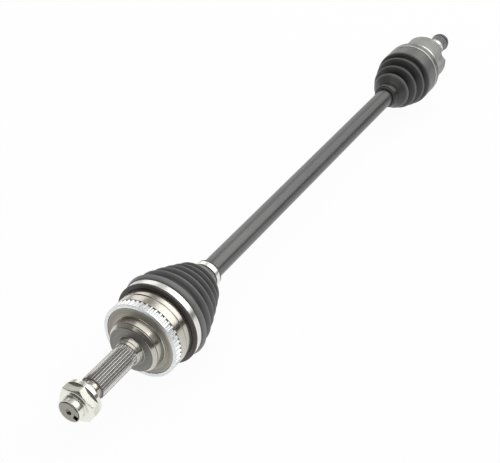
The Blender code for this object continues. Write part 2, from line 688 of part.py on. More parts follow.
def lobed_outline(lobe_radius, web_radius, count=48):
    """The three-lobed outside of the housing: round over each lobe and hollow between them."""
    points = []
    for index in range(count):
        angle = 2 * math.pi * index / count
        from_lobe = abs((angle + math.pi / 3) % (2 * math.pi / 3) - math.pi / 3)
        away = max(0.0, (from_lobe - LOBE_HALF_ANGLE) / (math.pi / 3 - LOBE_HALF_ANGLE))
        radius = web_radius + (lobe_radius - web_radius) * (1.0 - away) ** 2
        points.append((radius * math.cos(angle + math.pi), radius * math.sin(angle + math.pi)))
    return points


def track_outline():
    """The housing's inside: a round middle with three straight-sided tracks for the rollers."""
    side = ROLLER_RADIUS + TRACK_SIDE_GAP
    steps = 6
    lobe_angle = math.asin(side / LOBE_INNER_RADIUS)
    web_angle = math.asin(side / WEB_INNER_RADIUS)
    web_end = 2 * math.pi / 3 - web_angle
    points = []
    for lobe in range(TRUNNION_COUNT):
        middle = math.pi + 2 * math.pi * lobe / TRUNNION_COUNT
        for index in range(steps + 1):
            angle = middle - lobe_angle + 2 * lobe_angle * index / steps
            points.append((LOBE_INNER_RADIUS * math.cos(angle), LOBE_INNER_RADIUS * math.sin(angle)))
        for index in range(4):
            angle = middle + web_angle + (web_end - web_angle) * index / 3
            points.append((WEB_INNER_RADIUS * math.cos(angle), WEB_INNER_RADIUS * math.sin(angle)))
    return points


def build_housing():
    """The tripod housing: a three-lobed cup with roller tracks and a splined stub for the gearbox."""
    length = HOUSING_MOUTH + HOUSING_BACK
    cup = outline_curve("tripod_housing", [lobed_outline(LOBE_RADIUS, WEB_RADIUS)], length)
    cup.location = (0.0, 0.0, (HOUSING_BACK - HOUSING_MOUTH) / 2)
    housing = place(curve_to_mesh(cup), TRIPOD, STEEL_HOUSING)
    boss_end = HOUSING_BACK + STUB_BOSS_LENGTH
    clip_middle = INNER_STUB_END - STUB_CLIP_OFFSET
    clip_floor = INNER_STUB_RADIUS - CLIP_GROOVE_DEPTH
    stub_outline = [
        (INNER_STUB_END, 0.0),
        (INNER_STUB_END, INNER_STUB_RADIUS - 2 * EDGE_CHAMFER),
        (INNER_STUB_END - 2 * EDGE_CHAMFER, INNER_STUB_RADIUS),
        (clip_middle + CLIP_GROOVE_WIDTH / 2, INNER_STUB_RADIUS),
        (clip_middle + CLIP_GROOVE_WIDTH / 2, clip_floor),
        (clip_middle - CLIP_GROOVE_WIDTH / 2, clip_floor),
        (clip_middle - CLIP_GROOVE_WIDTH / 2, INNER_STUB_RADIUS),
        (boss_end + EDGE_CHAMFER, INNER_STUB_RADIUS),
        (boss_end, INNER_STUB_RADIUS + EDGE_CHAMFER),
        (boss_end, STUB_BOSS_RADIUS - EDGE_CHAMFER),
        (boss_end - EDGE_CHAMFER, STUB_BOSS_RADIUS),
        (HOUSING_BACK - HOUSING_BASE_WALL / 2, STUB_BOSS_RADIUS),
        (HOUSING_BACK - HOUSING_BASE_WALL / 2, 0.0),
    ]
    stub = place_cutter(turned("housing_stub", stub_outline, BAR_SEGMENTS), TRIPOD)
    combine(housing, stub, "UNION")
    cavity_length = HOUSING_FLOOR + HOUSING_MOUTH + MOUTH_RIM
    cavity = outline_curve("housing_track_cutter", [track_outline()], cavity_length)
    cavity.location = (0.0, 0.0, HOUSING_FLOOR - cavity_length / 2)
    combine(housing, place_cutter(curve_to_mesh(cavity), TRIPOD))
    flare_slope = (MOUTH_FLARE_RADIUS - WEB_INNER_RADIUS) / MOUTH_FLARE_DEPTH
    flare_outline = [
        (-HOUSING_MOUTH + MOUTH_FLARE_DEPTH, 0.0),
        (-HOUSING_MOUTH + MOUTH_FLARE_DEPTH, WEB_INNER_RADIUS),
        (-HOUSING_MOUTH - MOUTH_RIM, MOUTH_FLARE_RADIUS + MOUTH_RIM * flare_slope),
        (-HOUSING_MOUTH - MOUTH_RIM, 0.0),
    ]
    combine(housing, place_cutter(turned("housing_flare_cutter", flare_outline, BAR_SEGMENTS), TRIPOD))
    recess_outline = [
        (HOUSING_FLOOR + BASE_RECESS_DEPTH, 0.0),
        (HOUSING_FLOOR + BASE_RECESS_DEPTH, BASE_RECESS_RADIUS * 0.8),
        (HOUSING_FLOOR - BASE_RECESS_DEPTH, BASE_RECESS_RADIUS * 1.2),
        (HOUSING_FLOOR - BASE_RECESS_DEPTH, 0.0),
    ]
    combine(housing, place_cutter(turned("housing_recess_cutter", recess_outline, SMALL_SEGMENTS), TRIPOD))
    combine(housing, spline_cutter("inner_spline_cutter", INNER_STUB_RADIUS, INNER_SPLINE_DEPTH,
                                   INNER_SPLINE_COUNT, INNER_STUB_END - INNER_SPLINE_LENGTH,
                                   INNER_STUB_END + SPLINE_RUNOUT, TRIPOD))


def build_gearbox_clip():
    """The wire ring that snaps the stub into the gearbox."""
    clip_middle = INNER_STUB_RADIUS - CLIP_GROOVE_DEPTH + SEAT_GAP + CLIP_WIRE_RADIUS
    place(snap_ring("gearbox_circlip", clip_middle, CLIP_WIRE_RADIUS, INNER_STUB_END - STUB_CLIP_OFFSET),
          TRIPOD, STEEL_SPRING)


def build_insert():
    """The collar that fills the hollows between the lobes so that the round boot can seal on them."""
    inside = lobed_outline(LOBE_RADIUS + SEAT_GAP, WEB_RADIUS + SEAT_GAP)
    insert = outline_curve("boot_insert", [circle(INSERT_RADIUS, BELL_SEGMENTS), inside], INSERT_LENGTH)
    insert.location = (0.0, 0.0, -HOUSING_MOUTH + INSERT_LENGTH / 2)
    place(insert, TRIPOD, PLASTIC)


def build_spider():
    """The three-legged spider on the bar's gearbox end."""
    bore = BAR_SPLINE_RADIUS + SEAT_GAP
    hub = bore + SPIDER_HUB_WALL
    outline = [
        (SPIDER_HALF_WIDTH, bore),
        (SPIDER_HALF_WIDTH, hub - EDGE_CHAMFER),
        (SPIDER_HALF_WIDTH - EDGE_CHAMFER, hub),
        (-SPIDER_HALF_WIDTH + EDGE_CHAMFER, hub),
        (-SPIDER_HALF_WIDTH, hub - EDGE_CHAMFER),
        (-SPIDER_HALF_WIDTH, bore),
    ]
    spider = place(turned("tripod_spider", outline, BAR_SEGMENTS, ring=True), TRIPOD, STEEL_HARD)
    groove = TRUNNION_RADIUS - RETAINER_OVERLAP / 2
    root = (bore + hub) / 2
    leg_outline = [
        (TRUNNION_TOP, 0.0),
        (TRUNNION_TOP, TRUNNION_RADIUS - EDGE_CHAMFER),
        (TRUNNION_TOP - EDGE_CHAMFER, TRUNNION_RADIUS),
        (RETAINER_TOP + SEAT_GAP, TRUNNION_RADIUS),
        (RETAINER_TOP + SEAT_GAP, groove),
        (ROLLER_TOP, groove),
        (ROLLER_TOP, TRUNNION_RADIUS),
        (root, TRUNNION_RADIUS),
        (root, 0.0),
    ]
    for number, frame in enumerate(TRUNNIONS, start=1):
        leg = place_cutter(turned(f"spider_leg_{number}", leg_outline, SMALL_SEGMENTS), frame)
        combine(spider, leg, "UNION")
    clear_bore = [(2 * SPIDER_HALF_WIDTH, 0.0), (2 * SPIDER_HALF_WIDTH, bore),
                  (-2 * SPIDER_HALF_WIDTH, bore), (-2 * SPIDER_HALF_WIDTH, 0.0)]
    combine(spider, place_cutter(turned("spider_bore_cutter", clear_bore, BAR_SEGMENTS), TRIPOD))


def build_rollers():
    """A barrel roller, its ring of needles and its retaining washer on each leg of the spider."""
    half = ROLLER_WIDTH / 2
    barrel = [(ROLLER_PITCH_RADIUS + along, radius) for along, radius in sphere_arc(
        ROLLER_RADIUS, half - EDGE_CHAMFER / 2, -half + EDGE_CHAMFER / 2, 4)]
    roller_outline = [(ROLLER_TOP, ROLLER_BORE_RADIUS), (ROLLER_TOP, barrel[0][1] - EDGE_CHAMFER)]
    roller_outline += barrel
    roller_outline += [(ROLLER_BOTTOM, barrel[-1][1] - EDGE_CHAMFER), (ROLLER_BOTTOM, ROLLER_BORE_RADIUS)]
    needle_inner = TRUNNION_RADIUS + SEAT_GAP
    needle_middle = needle_inner + NEEDLE_RADIUS
    groove = TRUNNION_RADIUS - RETAINER_OVERLAP / 2
    washer_top = ROLLER_TOP + SEAT_GAP + RETAINER_THICKNESS
    washer_outer = ROLLER_BORE_RADIUS + RETAINER_OVERLAP / 2
    washer_outline = [
        (washer_top, groove + SEAT_GAP),
        (washer_top, washer_outer),
        (ROLLER_TOP + SEAT_GAP, washer_outer),
        (ROLLER_TOP + SEAT_GAP, groove + SEAT_GAP),
    ]
    needles = []
    for index in range(2 * NEEDLE_COUNT):
        angle = math.pi * index / NEEDLE_COUNT
        swell = 0.75 + 0.25 * math.cos(NEEDLE_COUNT * angle)
        radius = needle_middle + NEEDLE_RADIUS * swell
        needles.append((radius * math.cos(angle), radius * math.sin(angle)))
    for number, frame in enumerate(TRUNNIONS, start=1):
        roller = turned(f"tripod_roller_{number}", roller_outline, SMALL_SEGMENTS, ring=True)
        place(roller, frame, STEEL_HARD)
        bore = circle(needle_inner, SMALL_SEGMENTS)
        needle_ring = outline_curve(f"needle_set_{number}", [needles, bore], ROLLER_WIDTH - 2 * SEAT_GAP)
        needle_ring.location = (0.0, 0.0, ROLLER_PITCH_RADIUS)
        place(needle_ring, frame, STEEL_HARD)
        washer = turned(f"roller_retainer_{number}", washer_outline, SMALL_SEGMENTS, ring=True)
        place(washer, frame, STEEL_SPRING)


def crest_table(count, start, pitch, shrink, first_radius, last_radius, power):
    """(distance, radius) of each rib's crest, from the large end, on a domed line."""
    places = [0.0]
    for index in range(count - 1):
        places.append(places[-1] + pitch * shrink ** index)
    span = places[-1]
    drop = first_radius - last_radius
    return [(start + at, first_radius - drop * (at / span) ** power) for at in places]


def ribbed_wall(crests, depth, wall, crest_share):
    """Outer and inner lines of a ribbed boot: a round crest, a slope and a round valley for each rib."""
    outside = []
    inside = []
    for index, (at, radius) in enumerate(crests):
        outside.append((at, radius))
        inside.append((at, radius - wall))
        if index + 1 < len(crests):
            next_at, next_radius = crests[index + 1]
            gap = next_at - at
            valley = (radius + next_radius) / 2 - depth
            outside.append((at + crest_share * gap, radius - 0.25 * depth))
            outside.append((at + (0.5 - crest_share / 4) * gap, valley + 0.05 * depth))
            outside.append((at + (0.5 + crest_share / 3) * gap, valley))
            outside.append((next_at - crest_share * gap, next_radius - 0.22 * depth))
            inside.append((at + 0.52 * gap, valley - wall))
    return outside, inside


def build_outer_boot():
    """The domed, ribbed boot from the bell to the bar."""
    front = BELL_MOUTH_DEPTH - OUTER_BOOT_LAP
    lip_back = front + OUTER_BOOT_LIP_WIDTH
    seat_back = lip_back + OUTER_BOOT_SEAT
    bore = BELL_RADIUS + SEAT_GAP
    crests = crest_table(OUTER_CREST_COUNT, seat_back + OUTER_CREST_START, OUTER_CREST_PITCH,
                         OUTER_CREST_SHRINK, OUTER_SEAT_RADIUS + OUTER_CREST_RISE, OUTER_LAST_CREST,
                         OUTER_DOME_POWER)
    outside, inside = ribbed_wall(crests, OUTER_VALLEY_DEPTH, BOOT_RIB_WALL, OUTER_CREST_SHARE)
    end = front + OUTER_BOOT_LENGTH
    small_seat = end - BOOT_END_LIP - BOOT_SMALL_SEAT
    last_at, last_radius = crests[-1]
    neck_at = (last_at + small_seat) / 2
    neck = (last_radius + BOOT_SMALL_RADIUS) / 2
    small_bore = BAR_RADIUS + SEAT_GAP
    outside = [
        (front, OUTER_SEAT_RADIUS + OUTER_BOOT_LIP_HEIGHT * 0.6),
        (front + OUTER_BOOT_LIP_WIDTH * 0.4, OUTER_SEAT_RADIUS + OUTER_BOOT_LIP_HEIGHT),
        (lip_back, OUTER_SEAT_RADIUS + OUTER_BOOT_LIP_HEIGHT * 0.8),
        (lip_back, OUTER_SEAT_RADIUS),
        (seat_back, OUTER_SEAT_RADIUS),
        (seat_back + OUTER_CREST_START * 0.45, OUTER_SEAT_RADIUS + OUTER_CREST_RISE * 0.75),
    ] + outside + [
        (last_at + (neck_at - last_at) * 0.5, last_radius - (last_radius - neck) * 0.35),
        (neck_at, neck),
        (small_seat - EDGE_CHAMFER, BOOT_SMALL_RADIUS + BOOT_SMALL_WALL),
        (small_seat, BOOT_SMALL_RADIUS),
        (end - BOOT_END_LIP, BOOT_SMALL_RADIUS),
        (end - BOOT_END_LIP * 0.8, BOOT_SMALL_RADIUS + BOOT_LIP_HEIGHT),
        (end, BOOT_SMALL_RADIUS - BOOT_LIP_HEIGHT),
        (end, small_bore),
    ]
    inside = [(front, bore), (BELL_MOUTH_DEPTH + SEAT_GAP, bore)] + inside + [
        (neck_at, neck - BOOT_RIB_WALL),
        (small_seat + EDGE_CHAMFER, small_bore),
    ]
    boot = turned("outer_boot", outside[::-1] + inside, BOOT_SEGMENTS, ring=True)
    place(boot, OUTER, RUBBER)


def build_inner_boot():
    """The ribbed boot from the tripod housing to the bar, drawn from its large end."""
    bore = INSERT_RADIUS + SEAT_GAP
    small_bore = BAR_RADIUS + SEAT_GAP
    seat_end = BOOT_END_LIP + INNER_BOOT_SEAT
    band = INNER_SEAT_RADIUS + INNER_BAND_RISE
    crests = crest_table(INNER_CREST_COUNT, INNER_CREST_START, INNER_CREST_PITCH, INNER_CREST_SHRINK,
                         INNER_SEAT_RADIUS + INNER_CREST_RISE, INNER_LAST_CREST, INNER_DOME_POWER)
    ribs, rib_backs = ribbed_wall(crests, INNER_VALLEY_DEPTH, BOOT_RIB_WALL, INNER_CREST_SHARE)
    groove_at = INNER_BAND_END + (INNER_CREST_START - INNER_BAND_END) * 0.3
    groove = band - INNER_BAND_GROOVE
    small_seat = INNER_BOOT_LENGTH - BOOT_END_LIP - BOOT_SMALL_SEAT
    last_at, last_radius = crests[-1]
    neck_at = last_at + (small_seat - last_at) * 0.6
    neck = BOOT_SMALL_RADIUS + (last_radius - BOOT_SMALL_RADIUS) * 0.45
    small_lip = INNER_BOOT_LENGTH - BOOT_END_LIP
    outside = [
        (0.0, INNER_SEAT_RADIUS - BOOT_LIP_HEIGHT),
        (0.0, INNER_SEAT_RADIUS + BOOT_LIP_HEIGHT),
        (BOOT_END_LIP, INNER_SEAT_RADIUS + BOOT_LIP_HEIGHT),
        (BOOT_END_LIP, INNER_SEAT_RADIUS),
        (seat_end, INNER_SEAT_RADIUS),
        (seat_end, INNER_SEAT_RADIUS + BOOT_LIP_HEIGHT),
        (INNER_BAND_START, band),
        (INNER_BAND_END - EDGE_CHAMFER, band),
        (INNER_BAND_END, band - EDGE_CHAMFER),
        (groove_at, groove),
        (INNER_CREST_START - (INNER_CREST_START - groove_at) * 0.4, crests[0][1] - EDGE_CHAMFER),
    ] + ribs + [
        (neck_at, neck),
        (small_seat, BOOT_SMALL_RADIUS + BOOT_SMALL_WALL * 0.5),
        (small_seat, BOOT_SMALL_RADIUS),
        (small_lip, BOOT_SMALL_RADIUS),
        (small_lip, BOOT_SMALL_RADIUS + BOOT_LIP_HEIGHT),
        (INNER_BOOT_LENGTH, BOOT_SMALL_RADIUS),
        (INNER_BOOT_LENGTH, small_bore),
    ]
    inside = [
        (0.0, bore),
        (INNER_BOOT_LAP + SEAT_GAP, bore),
        (INNER_BAND_START + EDGE_CHAMFER, band - BOOT_RIB_WALL),
        (INNER_BAND_END - 2 * EDGE_CHAMFER, band - BOOT_RIB_WALL),
        (groove_at, groove - BOOT_RIB_WALL),
    ] + rib_backs + [
        (neck_at, neck - BOOT_RIB_WALL),
        (small_seat + EDGE_CHAMFER, small_bore),
    ]
    end = INNER_BOOT_LAP - HOUSING_MOUTH
    loop = [(end - at, radius) for at, radius in outside + inside[::-1]]
    place(turned("inner_boot", loop, BOOT_SEGMENTS, ring=True), TRIPOD, RUBBER)


def band_outline(radius):
    """A round band with one raised ear, at the given distance from the axle."""
    half_angle = EAR_WIDTH / 2 / radius
    lean = half_angle * 0.75
    top = radius + EAR_HEIGHT
    points = []
    for index in range(CLAMP_POINTS + 1):
        angle = EAR_ANGLE + half_angle + (2 * math.pi - 2 * half_angle) * index / CLAMP_POINTS
        points.append((radius * math.cos(angle), radius * math.sin(angle)))
    for angle in (EAR_ANGLE - lean, EAR_ANGLE + lean):
        points.append((top * math.cos(angle), top * math.sin(angle)))
    return points


def band_clamp(name, seat_radius, width, middle, parent, finish):
    """A crimped band clamp round a boot's end."""
    inner = seat_radius + SEAT_GAP
    clamp = outline_curve(name, [band_outline(inner + CLAMP_THICKNESS), band_outline(inner)], width)
    clamp.location = (0.0, 0.0, middle)
    place(clamp, parent, finish)


def build_clamps():
    """The four band clamps, each over its boot's seat."""
    front = BELL_MOUTH_DEPTH - OUTER_BOOT_LAP
    outer_middle = front + OUTER_BOOT_LIP_WIDTH + OUTER_BOOT_SEAT / 2
    band_clamp("outer_large_clamp", OUTER_SEAT_RADIUS, OUTER_CLAMP_WIDTH, outer_middle, OUTER, STEEL_BAND)
    outer_small = front + OUTER_BOOT_LENGTH - BOOT_END_LIP - BOOT_SMALL_SEAT / 2
    band_clamp("outer_small_clamp", BOOT_SMALL_RADIUS, SMALL_CLAMP_WIDTH, outer_small, OUTER, STEEL_BAND)
    end = -HOUSING_MOUTH + INNER_BOOT_LAP
    inner_middle = end - BOOT_END_LIP - INNER_BOOT_SEAT / 2
    band_clamp("inner_large_clamp", INNER_SEAT_RADIUS, INNER_CLAMP_WIDTH, inner_middle, TRIPOD, STEEL_BAND)
    inner_small = end - INNER_BOOT_LENGTH + BOOT_END_LIP + BOOT_SMALL_SEAT / 2
    band_clamp("inner_small_clamp", BOOT_SMALL_RADIUS, SMALL_CLAMP_WIDTH, inner_small, TRIPOD, BAND_BLACK)


clear_scene()
PARTS = make_collection(COLLECTION_NAME)
CUTTERS = make_collection(CUTTER_COLLECTION_NAME)
AXLE = make_centre("axle_centre", 0.0)
OUTER = make_centre("outer_joint_centre", OUTER_CENTRE_X)
TRIPOD = make_centre("tripod_centre", INNER_CENTRE_X)
TRUNNIONS = [make_trunnion_frame(number, math.pi + 2 * math.pi * (number - 1) / TRUNNION_COUNT)
             for number in range(1, TRUNNION_COUNT + 1)]

build_bar()
build_bar_clips()
build_outer_race()
build_tone_ring()
build_nut()
build_inner_race()
build_cage()
build_balls()
build_housing()
build_gearbox_clip()
build_insert()
build_spider()
build_rollers()
build_outer_boot()
build_inner_boot()
build_clamps()
bpy.context.view_layer.update()
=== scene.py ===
"""Looks of the CV axle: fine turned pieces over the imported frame, their finishes, the studio and the camera.

Angles round the axle start straight down and turn towards +Y, as in the CAD part, and lengths are metres.
"""
import math

import bpy
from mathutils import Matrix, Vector


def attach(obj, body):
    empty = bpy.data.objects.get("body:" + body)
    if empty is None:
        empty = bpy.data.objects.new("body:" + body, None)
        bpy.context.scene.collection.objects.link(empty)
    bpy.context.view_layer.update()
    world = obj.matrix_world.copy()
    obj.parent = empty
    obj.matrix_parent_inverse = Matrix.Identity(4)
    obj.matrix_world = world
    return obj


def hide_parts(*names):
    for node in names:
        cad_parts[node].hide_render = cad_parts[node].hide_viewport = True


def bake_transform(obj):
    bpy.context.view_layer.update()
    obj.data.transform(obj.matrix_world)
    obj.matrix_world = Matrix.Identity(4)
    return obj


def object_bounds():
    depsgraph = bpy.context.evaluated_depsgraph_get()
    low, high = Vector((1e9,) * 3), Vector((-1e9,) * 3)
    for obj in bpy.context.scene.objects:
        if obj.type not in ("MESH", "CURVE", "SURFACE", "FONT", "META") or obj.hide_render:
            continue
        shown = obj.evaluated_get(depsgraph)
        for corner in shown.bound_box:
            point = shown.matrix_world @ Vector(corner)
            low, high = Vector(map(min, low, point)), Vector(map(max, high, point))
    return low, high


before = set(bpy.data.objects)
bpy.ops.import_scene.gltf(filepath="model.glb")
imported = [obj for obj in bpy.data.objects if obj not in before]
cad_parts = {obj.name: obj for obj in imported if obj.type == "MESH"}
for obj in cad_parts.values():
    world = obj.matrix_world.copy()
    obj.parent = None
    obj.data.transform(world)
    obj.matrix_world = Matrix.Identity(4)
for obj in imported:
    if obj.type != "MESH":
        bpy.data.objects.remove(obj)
CAD_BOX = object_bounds()

TURN = 2 * math.pi

# Joint centres along the axle and the clearance between seated pieces
OUTER = -0.350
INNER = 0.350
SEAT_GAP = 0.0003

# Smoothness
RING_SEGMENTS = 128
AXIS_LIMIT = 0.000001
SHARP_ANGLE = math.radians(38)
CORNER_STEPS = 4
CORNER_REACH = 0.48

# Roundings of edges, and the short step that keeps a corner sharp
HAIR = 0.0001
FINE = 0.0003
SOFT = 0.0005
EDGE = 0.0008
ROUND = 0.0010

# Bar
BAR_RADIUS = 0.01225
BAR_SEAT_RADIUS = 0.0108
BAR_OUTER_NECK = 0.0105
BAR_INNER_NECK = 0.0116
NECK_LENGTH = 0.042
NECK_TAPER = 0.010
NECK_ROUND = 0.006
GROOVE_WIDTH = 0.0024
GROOVE_FLOOR = 0.0094
BAR_END = 0.0012
RACE_HALF_WIDTH = 0.0115
SPIDER_HALF_WIDTH = 0.0090

# Bell, boss and stub of the outer race, with distances from the outer joint centre
BELL_RADIUS = 0.0433
BELL_WALL = 0.0030
BELL_MOUTH = 0.0170
BELL_FLARE = 0.0040
BELL_LINE = -0.0030
BELL_LINE_WIDTH = 0.0016
BELL_FACE = -0.0220
CAVITY_RADIUS = 0.0318
CAVITY_DEPTH = -0.0280
CAVITY_STEPS = 20
TRACK_COUNT = 6
TRACK_MIDDLE = 0.0248
TRACK_RADIUS = 0.0130
TONE_SEAT = 0.0392
TONE_BACK = -0.0120
BOSS_RADIUS = 0.0295
BOSS_FRONT_RADIUS = 0.0286
BOSS_LINE = -0.0312
BOSS_LIP = 0.0014
BOSS_FACE = -0.0370
BOSS_FACE_RADIUS = 0.0260
SEAT_RADIUS = 0.0153
SEAT_STEP = -0.0414
SEAT_END = -0.0450
SPLINE_RADIUS = 0.0130
SPLINE_DEPTH = 0.0011
SPLINE_COUNT = 28
SPLINE_END = -0.1000
SPLINE_RUNOUT = 0.0030
SPLINE_STEPS = 14
STUB_SEGMENTS = 336
UNDERCUT_RADIUS = 0.0103
UNDERCUT_END = -0.1040
THREAD_RADIUS = 0.0110
THREAD_PITCH = 0.0015
THREAD_DEPTH = 0.0007
THREAD_SHOWN_TO = -0.1135
THREAD_STEPS = 30
STUB_END = -0.1360
CENTRE_HOLE = 0.0032
CENTRE_DEPTH = 0.0055
STAKE_ANGLE = math.radians(295)
STAKE_HALF = math.radians(14)
STAKE_DEPTH = 0.0044
STAKE_LENGTH = 0.0060

# Toothed ring
TONE_TIP = 0.0435
TONE_ROOT = 0.0419
TONE_TEETH = 48
TONE_STEPS = 12
TONE_SHARPNESS = 2.8
TONE_RIM = 0.0013

# Nut, with distances from the outer joint centre
NUT_FRONT = -0.1350
NUT_HEX_FRONT = -0.1270
NUT_HEX_BACK = -0.1170
NUT_BACK = -0.1120
NUT_BORE = 0.0113
NUT_COLLAR = 0.0129
NUT_FLAT = 0.0180
NUT_SIDES = 6
NUT_CORNER = NUT_FLAT / math.cos(math.pi / NUT_SIDES)
NUT_FACE = 0.0169
NUT_CHAMFER = 0.0022
NUT_CHAMFER_STEPS = 8
NUT_FLANGE = 0.0203
COLLAR_ROOT = 0.0015
COLLAR_DENT = 0.0009
NUT_TURN = math.radians(17)
NUT_SEGMENTS = 192

# Tripod housing, with distances from the tripod centre
HOUSING_MOUTH = -0.0230
HOUSING_FLOOR = 0.0350
HOUSING_BACK = 0.0385
HOUSING_STEPS = 8
HOUSING_SEGMENTS = 312
LOBE_COUNT = 3
LOBE_RADIUS = 0.0343
WEB_RADIUS = 0.0298
LOBE_HALF = math.radians(45)
LOBE_TURN = TURN * 6 / HOUSING_SEGMENTS
LOBE_INSIDE = 0.0313
WEB_INSIDE = 0.0220
ROLLER_SIDE = 0.0152
MOUTH_FLARE = 0.0262
MOUTH_FLARE_DEPTH = 0.0120
BASE_RECESS = 0.0150
BASE_RECESS_DEPTH = 0.0030
SHOULDER_ROUND = 0.0032
BACK_FACE = 0.0045
BACK_ROUND = 0.0030
STUB_BOSS_RADIUS = 0.0175
STUB_BOSS_END = 0.0505
STUB_BOSS_ROUND = 0.0014
STUB_ROOT_ROUND = 0.0015
INNER_STUB_RADIUS = 0.0130
INNER_STUB_END = 0.1070
INNER_SPLINE_START = INNER_STUB_END - 0.0260
INNER_SPLINE_COUNT = 26
INNER_SPLINE_DEPTH = 0.0010
INNER_SPLINE_STEPS = 10
CLIP_OFFSET = 0.0060
CLIP_FLOOR = INNER_STUB_RADIUS - 0.0014
CLIP_WIRE = 0.0009
CLIP_OPENING = math.radians(40)
INSERT_RADIUS = 0.0374
INSERT_LENGTH = 0.0170

# Marks that stand in for a radius where a wall follows the lobes or the roller tracks
LOBE_TAG = 1.0
TRACK_TAG = 2.0

# Boots
BOOT_SEGMENTS = 128
RIB_STEPS = 18
BOOT_WALL = 0.0022
CREST_ROUND = 0.30
SMALL_SEAT = 0.01515
SMALL_SEAT_LENGTH = 0.0110
SMALL_WALL = 0.0026
END_LIP = 0.0018
LIP_HEIGHT = 0.0008
OUTER_FRONT = 0.0080
OUTER_LIP = 0.0020
OUTER_LIP_HEIGHT = 0.0017
OUTER_SEAT = 0.0467
OUTER_SEAT_LENGTH = 0.0085
OUTER_SHOULDER = 0.0022
OUTER_LENGTH = 0.1030
OUTER_CRESTS = 6
OUTER_CREST_START = 0.0055
OUTER_PITCH = 0.0145
OUTER_SHRINK = 0.90
OUTER_FIRST_CREST = 0.0504
OUTER_LAST_CREST = 0.0290
OUTER_DOME = 1.25
OUTER_DEPTH = 0.0062
INNER_SEAT = 0.0397
INNER_LARGE_END = 0.342
INNER_SEAT_LENGTH = 0.0120
INNER_LENGTH = 0.1065
INNER_BAND = 0.0410
INNER_BAND_START = 0.0240
INNER_BAND_END = 0.0380
INNER_BAND_ROUND = 0.0050
INNER_GROOVE = 0.0338
INNER_GROOVE_PLACE = 0.40
INNER_GROOVE_ROUND = 0.0022
INNER_CRESTS = 3
INNER_CREST_START = 0.0500
INNER_PITCH = 0.0180
INNER_SHRINK = 0.805
INNER_FIRST_CREST = 0.0376
INNER_LAST_CREST = 0.0267
INNER_DOME = 1.39
INNER_DEPTH = 0.0088

# Neck of a boot: share of the way to the small seat, share of the last crest's rise, rounding
OUTER_NECK = (0.55, 0.36, 0.0060)
INNER_NECK = (0.62, 0.45, 0.0050)
NECK_WALL = BOOT_WALL * 0.8

# Tones of the rubber, from 0 in a fold to 1 on a crest: the finish paints shade into folds and a highlight onto
# crests
PLAIN_TONE = 0.75
# the band's higher tone gives it a painted highlight
BAND_TONE = 0.86

# Where a boot changes from one pair of bodies to the next
OUTER_CUTS = (-0.319, -0.298, -0.277)
INNER_CUTS = (0.297, 0.282)

# Band clamps
CLAMP_SEGMENTS = 288
CLAMP_THICKNESS = 0.0010
CLAMP_RIM = 0.00035
OUTER_BAND_WIDTH = 0.0070
OUTER_SMALL_BAND_WIDTH = 0.0062
INNER_BAND_WIDTH = 0.0110
INNER_SMALL_BAND_WIDTH = 0.0090
FRONT_EDGE = 0.0006
# width of the grey band's front edge, which carries a painted highlight
INNER_FRONT_HIGHLIGHT = 0.0032
EAR_ANGLE = math.radians(48)
EAR_HEIGHT = 0.0042
EAR_WIDTH = 0.0070
LAP_ANGLE = math.radians(38)
LAP_HEIGHT = 0.0006
LAP_SLOPE = 0.02

# Colours, as linear red, green and blue
BAR_DARK = (0.122, 0.123, 0.125)
BAR_LIGHT = (0.156, 0.156, 0.155)
BAR_RUBBED = (0.20, 0.198, 0.193)
# painted shade for the bar's gearbox end
BAR_FAR_SHADE = (0.050, 0.050, 0.051)
RACE_DARK = (0.50, 0.48, 0.43)
RACE_LIGHT = (0.59, 0.57, 0.52)
HUB_FACE_DARK = (0.21, 0.205, 0.185)
HUB_FACE_LIGHT = (0.28, 0.273, 0.252)
BELL_FACE_DARK = (0.33, 0.318, 0.265)
BELL_FACE_LIGHT = (0.43, 0.418, 0.36)
TOOTH_STEEL = (0.48, 0.47, 0.455)
# painted shade between the stub's spline teeth
TOOTH_GAP_SHADE = (0.20, 0.195, 0.185)
# painted reflection: a dark patch on the spline
SPLINE_DARK_REFLECTION = (0.085, 0.066, 0.070)
STUB_FACE = (0.38, 0.368, 0.33)
HOLE_RUST = (0.16, 0.11, 0.08)
# painted shade in the staking slot
SLOT_SHADE = (0.020, 0.018, 0.016)
ZINC_DARK = (0.79, 0.82, 0.825)
ZINC_LIGHT = (0.92, 0.93, 0.92)
# painted shade between the speed ring's teeth
ZINC_GAP_SHADE = (0.68, 0.71, 0.70)
NUT_DARK = (0.77, 0.77, 0.70)
NUT_LIGHT = (0.86, 0.86, 0.80)
NUT_GREEN = (0.70, 0.73, 0.56)
# painted shade in the nut's bore
NUT_BORE_SHADE = (0.15, 0.14, 0.11)
FORGED_DARK = (0.25, 0.25, 0.24)
FORGED_LIGHT = (0.33, 0.33, 0.318)
FORGED_TURNED = (0.95, 0.94, 0.92)
INNER_TOOTH_STEEL = (0.22, 0.22, 0.22)
# painted shade between the housing stub's spline teeth
INNER_TOOTH_GAP_SHADE = (0.13, 0.13, 0.13)
